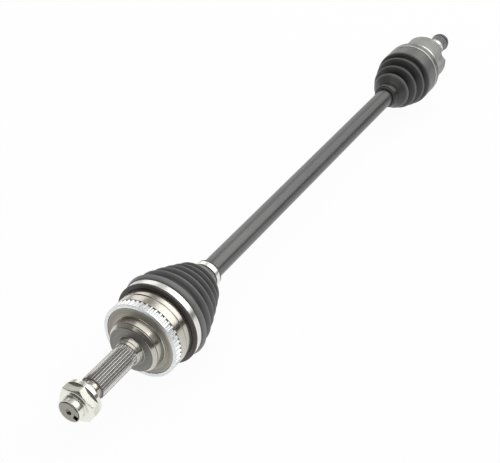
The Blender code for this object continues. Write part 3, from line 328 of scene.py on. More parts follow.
# painted shade in the boots' folds and a painted highlight on their crests
CLEAN_FOLD_SHADE = (0.008, 0.008, 0.008)
DUSTY_FOLD_SHADE = (0.056, 0.056, 0.057)
CLEAN_FLANK = (0.042, 0.042, 0.042)
DUSTY_FLANK = (0.160, 0.159, 0.161)
CLEAN_CREST_HIGHLIGHT = (0.200, 0.200, 0.197)
DUSTY_CREST_HIGHLIGHT = (0.240, 0.240, 0.237)
RUBBER_WORN = (0.085, 0.083, 0.080)
RUBBER_RINGS = (0.09, 0.09, 0.09)
RUBBER_LIP = (0.070, 0.056, 0.050)
PLASTIC_DARK = (0.022, 0.022, 0.023)
PLASTIC_LIGHT = (0.045, 0.045, 0.046)
HARD_DARK = (0.50, 0.50, 0.50)
HARD_LIGHT = (0.66, 0.66, 0.65)
GREASE = (0.16, 0.14, 0.11)
SPRING_DARK = (0.13, 0.13, 0.135)
SPRING_LIGHT = (0.24, 0.24, 0.24)

# Camera: its place was solved from the ends of the bar and the width of the joints in the photograph
IMAGE_WIDTH = 500
FOCAL_PIXELS = 1020
SENSOR_WIDTH = 36.0
CAMERA_TARGET = Vector((-0.150, 0.0, 0.0))
CAMERA_SIDE = Vector((-0.713, -0.408, 0.570))
CAMERA_DISTANCE = 1.177
CAMERA_REACH = 100.0

# Studio, with the shell's colours at shares of its height
WHITE = (1.0, 1.0, 1.0, 1.0)
FLOOR_PAINT = (0.90, 0.90, 0.90, 1.0)
FLOOR_SEEN = 0.95
FLOOR_HEIGHT = CAD_BOX[0].z - 0.0006
FLOOR_RADIUS = 9.0
FLOOR_SIDES = 96
WORLD_LIGHT = 0.42
SHELL_RADIUS = 6.0
SHELL_RINGS = 24
SHELL_SIDES = 64
LIT_SIDE = Vector((0.5, -0.866, 0.0))
LIT_REACH = (-0.35, 0.25)
LIT_WALL = ((0.0, (0.040, 0.034, 0.030)), (0.17, (0.050, 0.043, 0.038)), (0.27, (0.34, 0.33, 0.31)),
            (0.60, (0.40, 0.39, 0.365)), (1.0, (0.46, 0.45, 0.43)))
FAR_WALL = ((0.0, (0.28, 0.262, 0.245)), (0.14, (0.37, 0.348, 0.325)), (0.30, (0.43, 0.408, 0.385)),
            (0.60, (0.42, 0.40, 0.375)), (1.0, (0.44, 0.43, 0.41)))
NEAR_REACH = (-0.55 * SHELL_RADIUS, 0.05 * SHELL_RADIUS)
NEAR_WALL = (0.11, 0.105, 0.10)

# Lamps: the side where each stands, its distance, width, height and energy
LAMPS = {
    "key": ((0.736, -0.336, 0.588), 4.0, 4.3, 3.0, 66.0),
    "top": ((0.05, -0.22, 0.97), 3.0, 2.6, 4.2, 34.0),
    "back": ((0.76, 0.54, 0.36), 2.35, 1.8, 1.6, 9.0),
}


# Shapes


def around(x, radius, angle):
    """Point on a circle round the axle."""
    return (x, radius * math.sin(angle), -radius * math.cos(angle))


def off_angle(angle, middle=0.0, count=1):
    """Angle from the nearest of some even places round the axle, one of which is at middle."""
    pitch = TURN / count
    return (angle - middle + pitch / 2) % pitch - pitch / 2


def wave(angle, count, sharp=2.2):
    """Rounded square wave from 0 to 1 with the given count of periods in a turn."""
    return 0.5 + 0.5 * math.tanh(sharp * math.cos(count * angle)) / math.tanh(sharp)


def smooth(value, low, high):
    """0 below low, 1 above high and a smooth step between."""
    t = min(1.0, max(0.0, (value - low) / (high - low)))
    return t * t * (3 - 2 * t)


def rounded(corners):
    """Outline in which each (x, radius, rounding) corner is a short curve."""
    outline = []
    for index, corner in enumerate(corners):
        point = Vector(corner[:2])
        size = corner[2] if len(corner) > 2 else 0.0
        if size == 0.0 or index in (0, len(corners) - 1):
            outline.append(tuple(point))
            continue
        before = Vector(corners[index - 1][:2]) - point
        after = Vector(corners[index + 1][:2]) - point
        start = point + before.normalized() * min(size, before.length * CORNER_REACH)
        end = point + after.normalized() * min(size, after.length * CORNER_REACH)
        for step in range(CORNER_STEPS + 1):
            t = step / CORNER_STEPS
            here = start * (1 - t) ** 2 + point * 2 * t * (1 - t) + end * t ** 2
            outline.append(tuple(here))
    return outline


def run(start, end, count):
    """Evenly spaced (x, radius) points on a straight stretch of an outline."""
    shares = [index / count for index in range(count + 1)]
    return [tuple(a + (b - a) * share for a, b in zip(start, end)) for share in shares]


def shift(corners, centre):
    """Corners measured from a joint centre, moved to their place on the axle."""
    return [(centre + corner[0],) + tuple(corner[1:]) for corner in corners]


def make_piece(name, points, faces, tones=None):
    """A smooth-shaded mesh object with its sharp edges marked, and an optional tone at each point."""
    mesh = bpy.data.meshes.new(name)
    mesh.from_pydata(points, [], faces)
    if tones is not None:
        mesh.attributes.new("tone", "FLOAT", "POINT").data.foreach_set("value", tones)
    mesh.validate()
    mesh.shade_smooth()
    mesh.set_sharp_from_angle(angle=SHARP_ANGLE)
    piece = bpy.data.objects.new(name, mesh)
    bpy.context.scene.collection.objects.link(piece)
    return piece


def turned(name, outline, segments=RING_SEGMENTS, shape=None, turn=0.0):
    """Closed body turned round the axle from (x, radius) points, from the gearbox side to the wheel side.

    The outline starts and ends on the axis, or is a closed loop. A third number is the tone there, and
    shape(x, radius, angle) changes the radius round the axle.
    """
    points = []
    tones = []
    rings = []
    for x, radius, *tone in outline:
        first = len(points)
        count = 1 if radius < AXIS_LIMIT else segments
        for index in range(count):
            angle = turn + TURN * index / segments
            here = shape(x, radius, angle) if shape and count > 1 else radius
            points.append(around(x, here if count > 1 else 0.0, angle))
            tones.append(tone[0] if tone else 0.0)
        rings.append(range(first, first + count))
    pairs = list(zip(rings, rings[1:]))
    if len(rings[0]) > 1:
        pairs.append((rings[-1], rings[0]))
    faces = []
    for ring, following in pairs:
        for index in range(segments):
            after = (index + 1) % segments
            if len(ring) == 1:
                faces.append((ring[0], following[after], following[index]))
            elif len(following) == 1:
                faces.append((ring[index], ring[after], following[0]))
            else:
                faces.append((ring[index], ring[after], following[after], following[index]))
    piece = make_piece(name, points, faces, tones)
    even = piece.modifiers.new("even shading", "WEIGHTED_NORMAL")
    even.keep_sharp = True
    return piece


def between_rows(rows, sides):
    """Faces from each row of points to the next, where every row is a closed ring."""
    faces = []
    for low in range(0, rows * sides, sides):
        for side in range(sides):
            after = (side + 1) % sides
            faces.append((low + side, low + after, low + sides + after, low + sides + side))
    return faces


def wire_ring(name, x, radius, wire, opening):
    """Open spring-wire ring round the axle with flat ends."""
    steps = 96
    sides = 12
    points = []
    for step in range(steps + 1):
        angle = opening / 2 + (TURN - opening) * step / steps
        for side in range(sides):
            turn = TURN * side / sides
            points.append(around(x + wire * math.sin(turn), radius + wire * math.cos(turn), angle))
    ends = [tuple(range(sides))[::-1], tuple(range(steps * sides, (steps + 1) * sides))]
    return make_piece(name, points, ends + between_rows(steps, sides))


# Finishes


class Nodes:
    """A node tree, with short calls for its nodes."""

    def __init__(self, tree):
        self.tree = tree

    def put(self, socket, value):
        """Set an input to a number or link another node's output to it."""
        if isinstance(value, bpy.types.NodeSocket):
            self.tree.links.new(value, socket)
        else:
            socket.default_value = value

    def node(self, kind, inputs=None, **settings):
        """A new node with its settings and inputs."""
        made = self.tree.nodes.new("ShaderNode" + kind)
        for key, value in settings.items():
            setattr(made, key, value)
        for key, value in (inputs or {}).items():
            self.put(made.inputs[key], value)
        return made

    def math(self, operation, *values):
        """Result of a math node."""
        return self.node("Math", dict(enumerate(values)), operation=operation).outputs[0]

    def times(self, first, *others):
        """Product of the values."""
        for other in others:
            first = self.math("MULTIPLY", first, other)
        return first

    def weigh(self, first, share, second, other_share):
        """Sum of two values, each times its share."""
        return self.math("ADD", self.times(first, share), self.times(second, other_share))

    def step(self, value, low, high, start=0.0, end=1.0):
        """Value moved smoothly from start to end as it goes from low to high."""
        limits = {"Value": value, "From Min": low, "From Max": high, "To Min": start, "To Max": end}
        return self.node("MapRange", limits, interpolation_type="SMOOTHSTEP").outputs[0]

    def fade(self, value, low, high, start=1.0):
        """Value moved smoothly from start to 0 as it goes from low to high."""
        return self.step(value, low, high, start, 0.0)

    def mix(self, share, first, second):
        """Colour between two colours."""
        made = self.node("Mix", {0: share}, data_type="RGBA")
        for socket, value in ((made.inputs[6], first), (made.inputs[7], second)):
            self.put(socket, value if isinstance(value, bpy.types.NodeSocket) else (*value, 1.0))
        return made.outputs[2]

    def mix_shaders(self, share, first, second):
        """Shader between the shaders of two nodes."""
        return self.node("MixShader", {0: share, 1: first.outputs[0], 2: second.outputs[0]}).outputs[0]


class Finish(Nodes):
    """A material being made, with the place on the object as x, y, z and the radius from the axle."""

    def __init__(self, name, metallic=0.0):
        self.material = bpy.data.materials.new(name)
        self.material.use_nodes = True
        super().__init__(self.material.node_tree)
        self.shader = self.tree.nodes["Principled BSDF"]
        self.put(self.shader.inputs["Metallic"], metallic)
        self.place = self.node("TexCoord").outputs["Object"]
        split = self.node("SeparateXYZ", {0: self.place})
        self.x = split.outputs["X"]
        self.y = split.outputs["Y"]
        self.z = split.outputs["Z"]
        self.radius = self.math("SQRT", self.weigh(self.y, self.y, self.z, self.z))

    def noise(self, vector, scale, detail=3.0, roughness=0.55):
        """Cloudy pattern from 0 to 1."""
        inputs = {"Vector": vector, "Scale": scale, "Detail": detail, "Roughness": roughness}
        return self.node("TexNoise", inputs).outputs["Fac"]

    def stretched(self, x, y, z):
        """Object coordinates scaled along each axis."""
        return self.node("VectorMath", {0: self.place, 1: (x, y, z)}, operation="MULTIPLY").outputs[0]

    def lathe_place(self):
        """Coordinates that follow the lathe: along the axle, away from it and a little round it."""
        angle = self.times(self.math("ARCTAN2", self.y, self.z), 0.0004)
        return self.node("CombineXYZ", {"X": self.x, "Y": self.radius, "Z": angle}).outputs[0]

    def facing(self, low, high):
        """Share of a surface that faces the wheel end squarely."""
        way = self.node("SeparateXYZ", {0: self.node("TexCoord").outputs["Normal"]})
        return self.step(self.times(way.outputs["X"], -1.0), low, high)

    def tone(self):
        """The tone kept at the mesh's points."""
        return self.node("Attribute", attribute_name="tone").outputs["Fac"]

    def bump(self, height, strength, distance):
        """Relief on the surface."""
        made = self.node("Bump", {"Height": height, "Strength": strength, "Distance": distance})
        self.put(self.shader.inputs["Normal"], made.outputs[0])

    def finish(self, colour, roughness):
        """Link the colour and the roughness and give the material."""
        self.put(self.shader.inputs["Base Color"], colour)
        self.put(self.shader.inputs["Roughness"], roughness)
        return self.material


def bar_finish():
    """Dark drawn steel with a thin coat, faint draw lines, rubbed patches and painted shade towards the gearbox
    end.
    """
    made = Finish("bar_steel", 0.50)
    lines = made.noise(made.stretched(6.0, 900.0, 900.0), 1.0, 4.0)
    patches = made.noise(made.stretched(14.0, 60.0, 60.0), 1.0, 5.0, 0.62)
    colour = made.mix(made.step(patches, 0.30, 0.72), BAR_DARK, BAR_LIGHT)
    colour = made.mix(made.step(lines, 0.58, 0.80, 0.0, 0.35), colour, BAR_RUBBED)
    # painted shade: the bar is darkened towards the gearbox end
    colour = made.mix(made.step(made.x, -0.30, 0.25, 0.10, 0.70), colour, BAR_FAR_SHADE)
    made.bump(lines, 0.10, 0.0002)
    return made.finish(colour, made.step(made.weigh(lines, 0.5, patches, 0.5), 0.30, 0.70, 0.23, 0.32))


def lathe_metal(name, dark, light, rough, groove=0.16):
    """Metal with turning marks: fine grooves, wider tool bands and a cloudy tarnish."""
    made = Finish(name, 1.0)
    lathe = made.lathe_place()
    fine = made.noise(lathe, 5200.0, 2.0)
    bands = made.noise(lathe, 420.0, 3.0)
    cloud = made.noise(made.place, 95.0, 5.0, 0.6)
    colour = made.mix(made.step(made.weigh(bands, 0.62, cloud, 0.38), 0.34, 0.66), dark, light)
    roughness = made.step(made.weigh(fine, 0.5, bands, 0.5), 0.3, 0.7, *rough)
    made.bump(fine, groove, 0.00006)
    return made, colour, roughness


def square_faces(made, along):
    """Share and colour of the race's faces that are turned square to the axle."""
    rings = made.step(made.noise(made.lathe_place(), 700.0, 3.0), 0.36, 0.64)
    hub_face = made.mix(rings, HUB_FACE_DARK, HUB_FACE_LIGHT)
    bell_face = made.mix(rings, BELL_FACE_DARK, BELL_FACE_LIGHT)
    behind_boss = made.step(along, BOSS_FACE + 0.002, BOSS_FACE + 0.006)
    inside_ring = made.fade(made.radius, TONE_SEAT - FINE, TONE_SEAT + FINE)
    return made.times(made.facing(0.80, 0.95), inside_ring), made.mix(behind_boss, hub_face, bell_face)


def stake_slot(made, along):
    """Share of the slot at the stub's end into which the nut's collar is staked."""
    out_y = math.sin(STAKE_ANGLE)
    out_z = -math.cos(STAKE_ANGLE)
    outward = made.weigh(made.y, out_y, made.z, out_z)
    beside = made.math("ABSOLUTE", made.weigh(made.y, out_z, made.z, -out_y))
    floor = THREAD_RADIUS - STAKE_DEPTH
    half = THREAD_RADIUS * math.sin(STAKE_HALF)
    end = STUB_END + STAKE_LENGTH
    return made.times(made.step(outward, floor - 2 * FINE, floor - HAIR), made.fade(beside, half, half + FINE),
                      made.fade(along, end, end + ROUND))


def race_finish():
    """Ground and turned steel of the bell and its stub, with painted shade between the spline teeth and in the
    slot.
    """
    made, colour, roughness = lathe_metal("machined_steel", RACE_DARK, RACE_LIGHT, (0.15, 0.23))
    along = made.math("SUBTRACT", made.x, OUTER)
    face, face_colour = square_faces(made, along)
    colour = made.mix(face, colour, face_colour)
    roughness = made.math("ADD", roughness, made.times(face, 0.20))
    made.put(made.shader.inputs["Metallic"], made.math("SUBTRACT", 1.0, made.times(face, 0.5)))
    on_spline = made.times(made.fade(made.radius, SPLINE_RADIUS + EDGE / 2, SPLINE_RADIUS + ROUND),
                           made.fade(along, SEAT_END - ROUND, SEAT_END + ROUND),
                           made.step(along, SPLINE_END - EDGE / 2, SPLINE_END + EDGE / 2))
    # painted shade in the gaps between the spline teeth
    gap_shade = made.fade(made.radius, SPLINE_RADIUS - SPLINE_DEPTH, SPLINE_RADIUS - 2 * HAIR)
    colour = made.mix(on_spline, colour, made.mix(gap_shade, TOOTH_STEEL, TOOTH_GAP_SHADE))
    # painted reflection: a dark patch on one side of the spline next to the nut, not oil
    oil = made.times(made.fade(along, SPLINE_END + 0.003, SPLINE_END + 0.012),
                     made.step(made.noise(made.place, 180.0, 4.0), 0.34, 0.62),
                     made.step(made.y, -0.004, 0.007))
    colour = made.mix(made.times(oil, on_spline), colour, SPLINE_DARK_REFLECTION)
    colour = made.mix(made.fade(along, STUB_END + FINE, STUB_END + 3 * FINE), colour, STUB_FACE)
    hole = made.times(made.fade(made.radius, CENTRE_HOLE * 0.9, CENTRE_HOLE * 1.15),
                      made.fade(along, STUB_END + 0.012, STUB_END + 0.020), 0.75)
    colour = made.mix(hole, colour, HOLE_RUST)
    # painted shade: the staking slot is painted near black
    colour = made.mix(stake_slot(made, along), colour, SLOT_SHADE)
    return made.finish(colour, made.math("ADD", roughness, made.times(on_spline, 0.12)))


def zinc_finish():
    """Bluish white zinc plate with a faint crystal bloom and painted shade in the gaps between the teeth."""
    made = Finish("zinc_plate", 0.7)
    bloom = made.noise(made.place, 260.0, 5.0, 0.6)
    sparkle = made.node("TexVoronoi", {"Vector": made.place, "Scale": 900.0}).outputs["Distance"]
    colour = made.mix(made.step(bloom, 0.35, 0.66), ZINC_DARK, ZINC_LIGHT)
    front = OUTER + BELL_FACE
    # painted shade in the gaps between the ring's teeth
    gap_shade = made.times(made.fade(made.radius, TONE_ROOT + FINE, TONE_TIP - EDGE / 2),
                     made.step(made.x, front + SOFT, front + 4 * FINE), 0.50)
    made.bump(sparkle, 0.05, 0.0003)
    return made.finish(made.mix(gap_shade, colour, ZINC_GAP_SHADE), made.step(bloom, 0.3, 0.7, 0.26, 0.38))


def nut_finish():
    """Pale yellow-green zinc chromate over turned and broached faces, with painted shade in the bore."""
    made, colour, roughness = lathe_metal("zinc_yellow", NUT_DARK, NUT_LIGHT, (0.18, 0.26), 0.02)
    tint = made.noise(made.place, 120.0, 3.0)
    colour = made.mix(made.step(tint, 0.52, 0.74, 0.0, 0.35), colour, NUT_GREEN)
    # painted shade in the nut's bore
    bore = made.fade(made.radius, NUT_BORE + 2 * HAIR, NUT_BORE + SOFT)
    return made.finish(made.mix(bore, colour, NUT_BORE_SHADE), roughness)


def housing_finish():
    """Forged and shot-blasted grey steel, bright where the mouth and the stub are turned."""
    made = Finish("housing_steel", 0.4)
    grit = made.noise(made.place, 1500.0, 4.0)
    cloud = made.noise(made.place, 60.0, 5.0, 0.62)
    colour = made.mix(made.step(cloud, 0.32, 0.68), FORGED_DARK, FORGED_LIGHT)
    along = made.math("SUBTRACT", made.x, INNER)
    on_stub = made.fade(made.radius, INNER_STUB_RADIUS + FINE, INNER_STUB_RADIUS + ROUND)
    ground = made.times(on_stub, made.fade(along, INNER_SPLINE_START - 0.003, INNER_SPLINE_START))
    bright = made.math("MAXIMUM", ground, made.fade(along, 0.0044, 0.0050))
    colour = made.mix(bright, colour, FORGED_TURNED)
    toothed = made.step(along, INNER_SPLINE_START - 0.002, INNER_SPLINE_START + 0.002)
    # painted shade in the gaps between the stub's spline teeth
    gap_shade = made.fade(made.radius, INNER_STUB_RADIUS - INNER_SPLINE_DEPTH, INNER_STUB_RADIUS - 2 * HAIR)
    teeth = made.mix(gap_shade, INNER_TOOTH_STEEL, INNER_TOOTH_GAP_SHADE)
    colour = made.mix(made.times(on_stub, toothed), colour, teeth)
    rough = made.step(grit, 0.3, 0.7, 0.46, 0.58)
    made.bump(grit, 0.14, 0.0003)
    return made.finish(colour, made.math("SUBTRACT", rough, made.times(bright, 0.30)))


def band_finish(name, dark, light, edge, rough, metallic=1.0):
    """Rolled strip steel brushed round the band, with lighter edges: rubbed wear, and a painted highlight on the
    grey band's front edge.
    """
    made = Finish(name, metallic)
    brushed = made.noise(made.lathe_place(), 3600.0, 3.0)
    cloud = made.noise(made.place, 110.0, 3.0)
    colour = made.mix(made.step(cloud, 0.35, 0.65), dark, light)
    colour = made.mix(made.step(made.tone(), 0.35, 0.95), colour, edge)
    made.bump(brushed, 0.10, 0.00008)
    return made.finish(colour, made.step(brushed, 0.3, 0.7, *rough))


def rubber_finish():
    """Moulded black rubber: painted crest highlights, painted shade in folds, fine grain, dust at the wheel end,
    browned lip.
    """
    made = Finish("boot_rubber")
    grain = made.noise(made.place, 2600.0, 3.0)
    cloud = made.noise(made.place, 70.0, 5.0, 0.62)
    lathe = made.noise(made.lathe_place(), 700.0, 2.0)
    tone = made.tone()
    dusty = made.fade(made.x, -0.05, 0.05)
    fold = made.mix(dusty, CLEAN_FOLD_SHADE, DUSTY_FOLD_SHADE)
    flank = made.mix(dusty, CLEAN_FLANK, DUSTY_FLANK)
    crest = made.mix(dusty, CLEAN_CREST_HIGHLIGHT, DUSTY_CREST_HIGHLIGHT)
    # painted shade in the folds, then a painted highlight on the crests
    colour = made.mix(made.step(tone, 0.10, 0.70), fold, flank)
    colour = made.mix(made.step(tone, 0.74, 1.0, 0.0, 0.9), colour, crest)
    raised = made.step(tone, 0.3, 0.8)
    colour = made.mix(made.times(made.step(cloud, 0.48, 0.80, 0.0, 0.28), raised), colour, RUBBER_WORN)
    colour = made.mix(made.times(made.step(lathe, 0.56, 0.76, 0.0, 0.20), raised), colour, RUBBER_RINGS)
    lip_end = OUTER + OUTER_FRONT + OUTER_LIP
    colour = made.mix(made.fade(made.x, lip_end + HAIR, lip_end + 2 * FINE, 0.85), colour, RUBBER_LIP)
    made.bump(grain, 0.14, 0.0003)
    return made.finish(colour, made.step(cloud, 0.3, 0.7, 0.33, 0.44))


def plastic_finish():
    """Moulded black plastic with a fine spark texture."""
    made = Finish("insert_plastic")
    grain = made.noise(made.place, 1800.0, 4.0)
    colour = made.mix(made.step(grain, 0.35, 0.7), PLASTIC_DARK, PLASTIC_LIGHT)
    made.bump(grain, 0.18, 0.0003)
    return made.finish(colour, made.step(grain, 0.3, 0.7, 0.45, 0.62))


def hard_finish():
    """Ground bearing steel with a film of grease."""
    made, colour, roughness = lathe_metal("hard_steel", HARD_DARK, HARD_LIGHT, (0.14, 0.24), 0.05)
    grease = made.step(made.noise(made.place, 140.0, 4.0), 0.50, 0.75, 0.0, 0.55)
    return made.finish(made.mix(grease, colour, GREASE), roughness)


def spring_finish():
    """Dark oil-tempered wire."""
    made, colour, roughness = lathe_metal("spring_steel", SPRING_DARK, SPRING_LIGHT, (0.30, 0.42), 0.06)
    return made.finish(colour, roughness)


FINISHES = {
    "bar_steel": bar_finish(),
    "machined_steel": race_finish(),
    "zinc_plate": zinc_finish(),
    "zinc_yellow": nut_finish(),
    "housing_steel": housing_finish(),
    "band_steel": band_finish("band_steel", (0.76, 0.75, 0.72), (0.87, 0.86, 0.84), (0.90, 0.89, 0.87),
                              (0.24, 0.34)),
    # its light edge colour is a painted highlight along the band's front edge
    "band_grey": band_finish("band_grey", (0.13, 0.13, 0.126), (0.17, 0.17, 0.166), (0.46, 0.455, 0.44),
                             (0.34, 0.44), 0.5),
    "band_black": band_finish("band_black", (0.055, 0.055, 0.056), (0.085, 0.085, 0.085), (0.13, 0.13, 0.13),
                              (0.30, 0.42)),
    "boot_rubber": rubber_finish(),
    "insert_plastic": plastic_finish(),
    "hard_steel": hard_finish(),
    "spring_steel": spring_finish(),
}


def dress(piece, slot, node, body=None, finish=None):
    """Give a piece its finish, hide the CAD node it stands in for and attach it to the body it rides on, if any.
    """
    piece.data.materials.append(FINISHES[finish or slot])
    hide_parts(node)
    if body:
        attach(piece, body)


# Pieces of the wheel end


def make_bar():
    """The bar with its necks, spline seats and clip grooves."""
    stop = OUTER + RACE_HALF_WIDTH
    shoulder = INNER - SPIDER_HALF_WIDTH - SEAT_GAP
    spider = INNER + SPIDER_HALF_WIDTH
    tip = spider + GROOVE_WIDTH + BAR_END
    race = OUTER - RACE_HALF_WIDTH
    end = race - GROOVE_WIDTH - BAR_END
    corners = [
        (tip, 0.0),
        (tip, BAR_SEAT_RADIUS, EDGE),
        (spider + GROOVE_WIDTH, BAR_SEAT_RADIUS),
        (spider + GROOVE_WIDTH, GROOVE_FLOOR),
        (spider, GROOVE_FLOOR),
        (spider, BAR_SEAT_RADIUS),
        (shoulder, BAR_SEAT_RADIUS),
        (shoulder, BAR_INNER_NECK, EDGE / 2),
        (INNER - NECK_LENGTH, BAR_INNER_NECK, NECK_ROUND),
        (INNER - NECK_LENGTH - NECK_TAPER, BAR_RADIUS, NECK_ROUND),
        (OUTER + NECK_LENGTH + NECK_TAPER, BAR_RADIUS, NECK_ROUND),
        (OUTER + NECK_LENGTH, BAR_OUTER_NECK, NECK_ROUND),
        (stop + GROOVE_WIDTH + BAR_END, BAR_OUTER_NECK),
        (stop + GROOVE_WIDTH + EDGE, BAR_SEAT_RADIUS),
        (stop + GROOVE_WIDTH, BAR_SEAT_RADIUS),
        (stop + GROOVE_WIDTH, GROOVE_FLOOR),
        (stop, GROOVE_FLOOR),
        (stop, BAR_SEAT_RADIUS),
        (race, BAR_SEAT_RADIUS),
        (race, GROOVE_FLOOR),
        (race - GROOVE_WIDTH, GROOVE_FLOOR),
        (race - GROOVE_WIDTH, BAR_SEAT_RADIUS),
        (end, BAR_SEAT_RADIUS, EDGE),
        (end, 0.0),
    ]
    dress(turned("bar", rounded(corners)), "bar_steel", "axle_bar", "shaft")


def track_radius(along, angle):
    """Distance from the axle to the wall of the nearest ball track, or 0 where there is none."""
    halvings = 30
    off = off_angle(angle, count=TRACK_COUNT)
    low = 0.0
    high = BELL_RADIUS
    for _ in range(halvings):
        radius = (low + high) / 2
        bent = math.hypot(radius * math.cos(off), along) - TRACK_MIDDLE
        if bent * abs(bent) + (radius * math.sin(off)) ** 2 < TRACK_RADIUS ** 2:
            low = radius
        else:
            high = radius
    return low


def race_shape(x, radius, angle):
    """Ball tracks in the bell's cavity, teeth on the stub, its thread and the slot at its end."""
    along = x - OUTER
    if along > BELL_FACE * 1.3 and SEAT_RADIUS * 0.95 < radius < CAVITY_RADIUS + HAIR:
        return max(radius, min(track_radius(along, angle), BELL_RADIUS - BELL_WALL))
    if SPLINE_END - SOFT < along < SEAT_END + SOFT and radius > SPLINE_RADIUS - EDGE / 2:
        cut = SPLINE_DEPTH * smooth(along, SEAT_END, SEAT_END - SPLINE_RUNOUT)
        return radius - cut * (1 - wave(angle, SPLINE_COUNT))
    if STUB_END - HAIR < along < THREAD_SHOWN_TO and radius > CENTRE_HOLE * 1.2:
        if along < STUB_END + STAKE_LENGTH and abs(off_angle(angle, STAKE_ANGLE)) < STAKE_HALF:
            return min(radius, THREAD_RADIUS - STAKE_DEPTH)
        return radius
    if THREAD_SHOWN_TO <= along < UNDERCUT_END and radius > THREAD_RADIUS - 2 * HAIR:
        turns = (along / THREAD_PITCH - angle / TURN) % 1.0
        return radius - THREAD_DEPTH * (1 - abs(2 * turns - 1))
    return radius


def make_race():
    """The bell with its cavity, the boss and the splined and threaded stub."""
    first = math.asin(CAVITY_DEPTH / CAVITY_RADIUS)
    last = math.asin((BELL_MOUTH - BELL_FLARE) / CAVITY_RADIUS)
    arc = [first + (last - first) * index / CAVITY_STEPS for index in range(CAVITY_STEPS + 1)]
    cavity = [(CAVITY_RADIUS * math.sin(angle), CAVITY_RADIUS * math.cos(angle)) for angle in arc]
    bell = rounded([
        (BELL_MOUTH, cavity[-1][1] + BELL_FLARE),
        (BELL_MOUTH, BELL_RADIUS, ROUND),
        (BELL_LINE + BELL_LINE_WIDTH, BELL_RADIUS, FINE),
        (BELL_LINE + BELL_LINE_WIDTH * 0.75, BELL_RADIUS - EDGE),
        (BELL_LINE, BELL_RADIUS - EDGE),
        (BELL_LINE - BELL_LINE_WIDTH * 0.25, BELL_RADIUS, FINE),
        (TONE_BACK + SEAT_GAP, BELL_RADIUS, SOFT),
        (TONE_BACK + SEAT_GAP, TONE_SEAT),
        (BELL_FACE, TONE_SEAT, ROUND),
        (BELL_FACE, BOSS_RADIUS + EDGE, ROUND),
        (BOSS_LINE, BOSS_RADIUS - EDGE, 2 * HAIR),
        (BOSS_LINE - HAIR, BOSS_FRONT_RADIUS - SOFT),
        (BOSS_LINE - SOFT, BOSS_FRONT_RADIUS - SOFT),
        (BOSS_LINE - SOFT - HAIR, BOSS_FRONT_RADIUS, 2 * HAIR),
        (BOSS_LINE - BOSS_LIP, BOSS_FRONT_RADIUS, 2 * HAIR),
        (BOSS_FACE, BOSS_FACE_RADIUS, ROUND),
        (BOSS_FACE, SEAT_RADIUS + EDGE, SOFT),
        (SEAT_STEP, SEAT_RADIUS - EDGE / 2, FINE),
        (SEAT_STEP - HAIR, SEAT_RADIUS - 1.2 * EDGE),
        (SEAT_STEP - FINE - HAIR, SEAT_RADIUS - 1.2 * EDGE),
        (SEAT_END + SOFT, SEAT_RADIUS - 2.2 * EDGE, FINE),
        (SEAT_END, SPLINE_RADIUS),
    ])
    spline = run((SEAT_END - 2 * HAIR, SPLINE_RADIUS), (SPLINE_END + EDGE, SPLINE_RADIUS), SPLINE_STEPS)
    neck = rounded([
        (SPLINE_END + EDGE * 0.9, SPLINE_RADIUS),
        (SPLINE_END, UNDERCUT_RADIUS, 2 * FINE),
        (UNDERCUT_END - 2 * HAIR, UNDERCUT_RADIUS, EDGE / 2),
        (UNDERCUT_END - ROUND, THREAD_RADIUS),
    ])
    thread_start = UNDERCUT_END - ROUND - HAIR
    thread = run((thread_start, THREAD_RADIUS), (THREAD_SHOWN_TO, THREAD_RADIUS), THREAD_STEPS)
    end = rounded([
        (THREAD_SHOWN_TO - FINE, THREAD_RADIUS),
        (STUB_END + STAKE_LENGTH, THREAD_RADIUS),
        (STUB_END + STAKE_LENGTH - HAIR, THREAD_RADIUS),
        (STUB_END, THREAD_RADIUS, EDGE),
        (STUB_END, CENTRE_HOLE, EDGE / 2),
        (STUB_END + CENTRE_DEPTH, 0.0),
    ])
    corners = [(CAVITY_DEPTH, 0.0)] + cavity + bell + spline + neck + thread + end
    race = turned("outer_race_body", shift(corners, OUTER), STUB_SEGMENTS, race_shape)
    dress(race, "machined_steel", "outer_race", "outer_joint")


def tone_shape(x, radius, angle):
    """Teeth of the speed ring."""
    if radius < TONE_ROOT - EDGE / 2 or x < OUTER + BELL_FACE + TONE_RIM + HAIR / 2:
        return radius
    return radius - (TONE_TIP - TONE_ROOT) * (1 - wave(angle, TONE_TEETH, TONE_SHARPNESS))


def make_tone_ring():
    """The toothed ring pressed on the bell."""
    front = OUTER + BELL_FACE
    back = OUTER + TONE_BACK
    bore = TONE_SEAT + SEAT_GAP
    corners = rounded([
        (back, bore),
        (back, TONE_TIP, SOFT),
        (front + TONE_RIM + HAIR, TONE_TIP),
        (front + TONE_RIM, TONE_TIP),
        (front, TONE_TIP, SOFT),
        (front, bore, FINE),
        (back, bore),
    ])[:-1]
    ring = turned("speed_ring", corners, TONE_TEETH * TONE_STEPS, tone_shape)
    dress(ring, "zinc_plate", "abs_tone_ring", "outer_joint")


def nut_shape(x, radius, angle):
    """Six flats with a turned chamfer, and the dent where the collar is staked."""
    along = x - OUTER
    if NUT_HEX_FRONT - HAIR / 2 < along < NUT_HEX_BACK + HAIR / 2 and radius > NUT_COLLAR * 1.15:
        off = abs(off_angle(angle, NUT_TURN, NUT_SIDES))
        return min(radius, NUT_FLAT / math.cos(math.pi / NUT_SIDES - off))
    if along < NUT_HEX_FRONT - ROUND:
        off = abs(off_angle(angle, STAKE_ANGLE))
        depth = smooth(along, NUT_FRONT + STAKE_LENGTH, NUT_FRONT + ROUND)
        return radius - COLLAR_DENT * depth * (1 - smooth(off, STAKE_HALF * 0.55, STAKE_HALF))
    return radius


